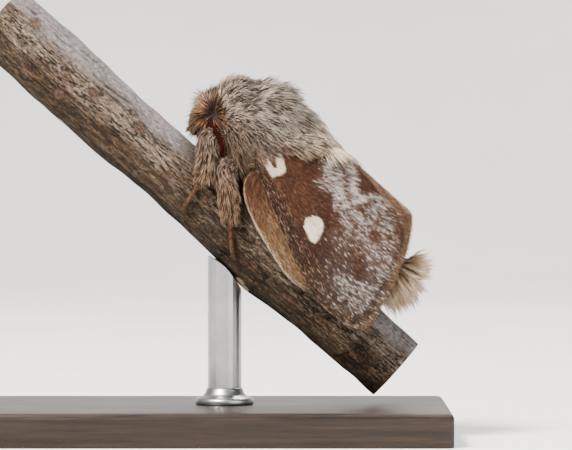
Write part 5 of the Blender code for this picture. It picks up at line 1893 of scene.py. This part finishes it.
def make_twig():
    """The bark with its relief, marks and painted shade, and the two cut ends."""
    rows, columns = BARK_ROWS, BARK_COLUMNS
    lengths = np.linspace(TWIG_START, TWIG_END, rows)
    turns = np.linspace(-math.pi, math.pi, columns, endpoint=False)
    x, angle = (g.ravel() for g in np.meshgrid(lengths, turns, indexing="ij"))
    height, furrow = bark_relief(x, angle)
    scar, rim, crust, crack = bark_marks(x, angle)
    furrow = np.max([furrow * (1 - scar) * (1 - crust), crack, 0.6 * rim ** 3], axis=0)
    height = height + 0.07 * rim - 0.1 * crack + 0.05 * crust
    radius = twig_radius(x, angle) - 0.04 + np.minimum(height, 0.14)
    points = np.stack([x, -radius * np.cos(angle), radius * np.sin(angle)], 1)
    grid = np.arange(rows * columns).reshape(rows, columns)
    a, b = grid[:-1], grid[1:]
    c, d = np.roll(b, -1, axis=1), np.roll(a, -1, axis=1)
    faces = np.concatenate([np.stack([a, b, c], -1).reshape(-1, 3), np.stack([a, c, d], -1).reshape(-1, 3)])
    turn = np.where(np.abs(angle) > math.pi / 2, np.sign(angle) * math.pi - angle, angle)
    turn = turn + 0.3 * field(points, 0.35)
    flank = smooth_step(0.1, -0.45, turn)
    # Painted shadow of the moth on the bark under it
    shaded = 0.7 * smooth_step(-12.0, -8.5, x) * smooth_step(9.0, 4.0, x)
    values = {
        "furrow": np.clip(furrow, 0, 1) * 0.85,
        "ridged": np.maximum(smooth_step(0.75, 0.3, turn), shaded),
        "flank": np.maximum(flank, shaded),
        # Painted shade on the underside, and the moth's painted shadow on the flank
        "under": np.maximum(smooth_step(-0.8, -1.3, turn), 0.5 * shaded * flank),
        "scar": 0.85 * scar,
        "crust": crust,
    }
    bark = piece("twig_bark", points, faces, bark_paint(), values)
    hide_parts("perch_twig")
    paint = end_grain_paint()
    for name, row, way in (("start", 0, 1), ("end", rows - 1, -1)):
        cut_end(f"twig_{name}", points[grid[row]], way, paint)


# Stand, floor, light and camera

def cut_end(name, rim, way, paint):
    """The slightly hollow end of the twig inside the rim of its bark. way is 1 where it faces the head."""
    shares = np.linspace(0, 1, CUT_RINGS + 1)[1:]
    columns = len(rim)
    middle = rim.mean(0)
    cap = (middle + shares[:, None, None] * (rim - middle)[None]).reshape(-1, 3)
    dish = np.repeat(CUT_DEPTH * (1 - shares ** 4), columns) * way
    cap = np.concatenate([cap + dish[:, None] * (1, 0, 0), [middle + (CUT_DEPTH * way, 0, 0)]])
    k = np.arange(columns)
    centre = np.stack([np.full(columns, len(cap) - 1), (k + 1) % columns, k], 1)
    faces = np.concatenate([centre, ring_faces(CUT_RINGS, columns)])[:, ::-way]
    rims = np.append(np.repeat(smooth_step(0.86, 0.9, shares), columns), 0.0)
    piece(name, cap, faces, paint, {"rim": rims})


def lathe(profile, sides=64):
    """A turned form: (radius, height) pairs from bottom to top, closed at both ends."""
    turn = np.linspace(0, 2 * math.pi, sides, endpoint=False)
    rings = [np.stack([r * np.cos(turn), r * np.sin(turn), np.full(sides, h)], 1) for r, h in profile]
    points = np.concatenate(rings + [[(0, 0, profile[0][1])], [(0, 0, profile[-1][1])]])
    return points, closed_faces(len(profile), sides)


# The collar at the foot of the rod: radii and heights over the base
COLLAR = [
    (2.5, 0.0), (2.6, 0.1), (2.6, 0.45), (2.45, 0.62),
    (2.0, 0.75), (1.75, 1.0), (1.62, 1.35), (1.55, 1.5),
]


def make_stand(nodes):
    """The base and rod as they are, painted, and a collar at the foot of the rod."""
    for name, paint in (("stand_base", base_paint()), ("stand_rod", steel_paint("stand_rod"))):
        materials = nodes[name].data.materials
        materials.clear()
        materials.append(paint)
    rod_x = TWIG_ORIGIN[0] + ROD_ALONG_TWIG * math.cos(SLOPE)
    points, faces = lathe(COLLAR)
    points = points + (rod_x, 0, BASE_TOP)
    piece("stand_collar", points, faces, steel_paint("stand_collar"), world=True)


# The floor in metres: how far it reaches to the front, back and sides, and the bend up into the back wall
FLOOR_FRONT, FLOOR_BACK, FLOOR_SIDE = -0.9, 0.35, 1.3
WALL_BEND, WALL_TOP = 0.3, 1.2


def make_floor():
    """A floor that bends up into a back wall."""
    bend = np.linspace(0.1, math.pi / 2, 14)
    profile = [(FLOOR_FRONT, 0.0), (FLOOR_BACK, 0.0)]
    profile += [(FLOOR_BACK + WALL_BEND * math.sin(t), WALL_BEND - WALL_BEND * math.cos(t)) for t in bend]
    profile += [(FLOOR_BACK + WALL_BEND, WALL_TOP)]
    across = np.linspace(-FLOOR_SIDE, FLOOR_SIDE, 14)
    points = np.array([(x, y, z) for y, z in profile for x in across])
    a, b, c, d = grid_corners(np.arange(len(points)).reshape(len(profile), len(across)))
    mesh = bpy.data.meshes.new("floor")
    fill_mesh(mesh, points, np.stack([a, d, c, b], 1))
    mesh.polygons.foreach_set("use_smooth", np.full(len(a), True))
    mesh.materials.append(floor_paint())
    placed("floor", mesh)


# The lamps in metres: place, size, watts and colour
LIGHTS = [
    ("key", (-0.2, -0.24, 0.38), 0.13, 10.5, (1.0, 0.97, 0.93)),
    ("fill", (0.34, -0.34, 0.12), 0.4, 1.6, (0.95, 0.97, 1.0)),
    ("back", (0.1, 0.25, 0.45), 0.25, 4.5, (1.0, 0.99, 0.97)),
]
LIGHT_TARGET = Vector((0.0, 0.0, 0.02))
SKY_COLOUR = (0.9, 0.93, 1.0, 1.0)
SKY_STRENGTH = 0.42


def placed_facing(name, data, place, way):
    """A new lamp or camera that faces a way."""
    obj = placed(name, data)
    obj.location = place
    obj.rotation_euler = Vector(way).to_track_quat("-Z", "Y").to_euler()
    return obj


def make_lights():
    for name, place, size, watts, colour in LIGHTS:
        light = bpy.data.lights.new(name, "AREA")
        light.size = size
        light.energy = watts
        light.color = colour
        placed_facing(name, light, place, LIGHT_TARGET - Vector(place))
    world = bpy.data.worlds.new("studio")
    world.use_nodes = True
    sky = world.node_tree.nodes["Background"].inputs
    sky["Color"].default_value = SKY_COLOUR
    sky["Strength"].default_value = SKY_STRENGTH
    bpy.context.scene.world = world


# The camera in millimetres: what it looks at, how far away it is and how wide a picture it takes there
CAMERA_TARGET = np.array((7.0, 0.0, 19.0))
CAMERA_DISTANCE = 350.0
CAMERA_RISE = math.radians(1.0)
FRAME_WIDTH = 51.0
SENSOR = 36.0


def make_camera():
    camera = bpy.data.cameras.new("camera")
    camera.sensor_width = SENSOR
    camera.lens = SENSOR * CAMERA_DISTANCE / FRAME_WIDTH
    camera.clip_start = 0.01
    away = np.array((0.0, -math.cos(CAMERA_RISE), math.sin(CAMERA_RISE))) * CAMERA_DISTANCE
    bpy.context.scene.camera = placed_facing("camera", camera, (CAMERA_TARGET + away) * MM, -away)


def main():
    """Builds the pieces in the frame."""
    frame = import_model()
    limbs = body_limbs()
    points, faces = make_skin(limbs)
    make_coat(points, faces, limbs)
    make_wings()
    make_eyes()
    make_antennae()
    make_feet()
    make_twig()
    make_stand(frame["nodes"])
    make_floor()
    make_lights()
    make_camera()


main()
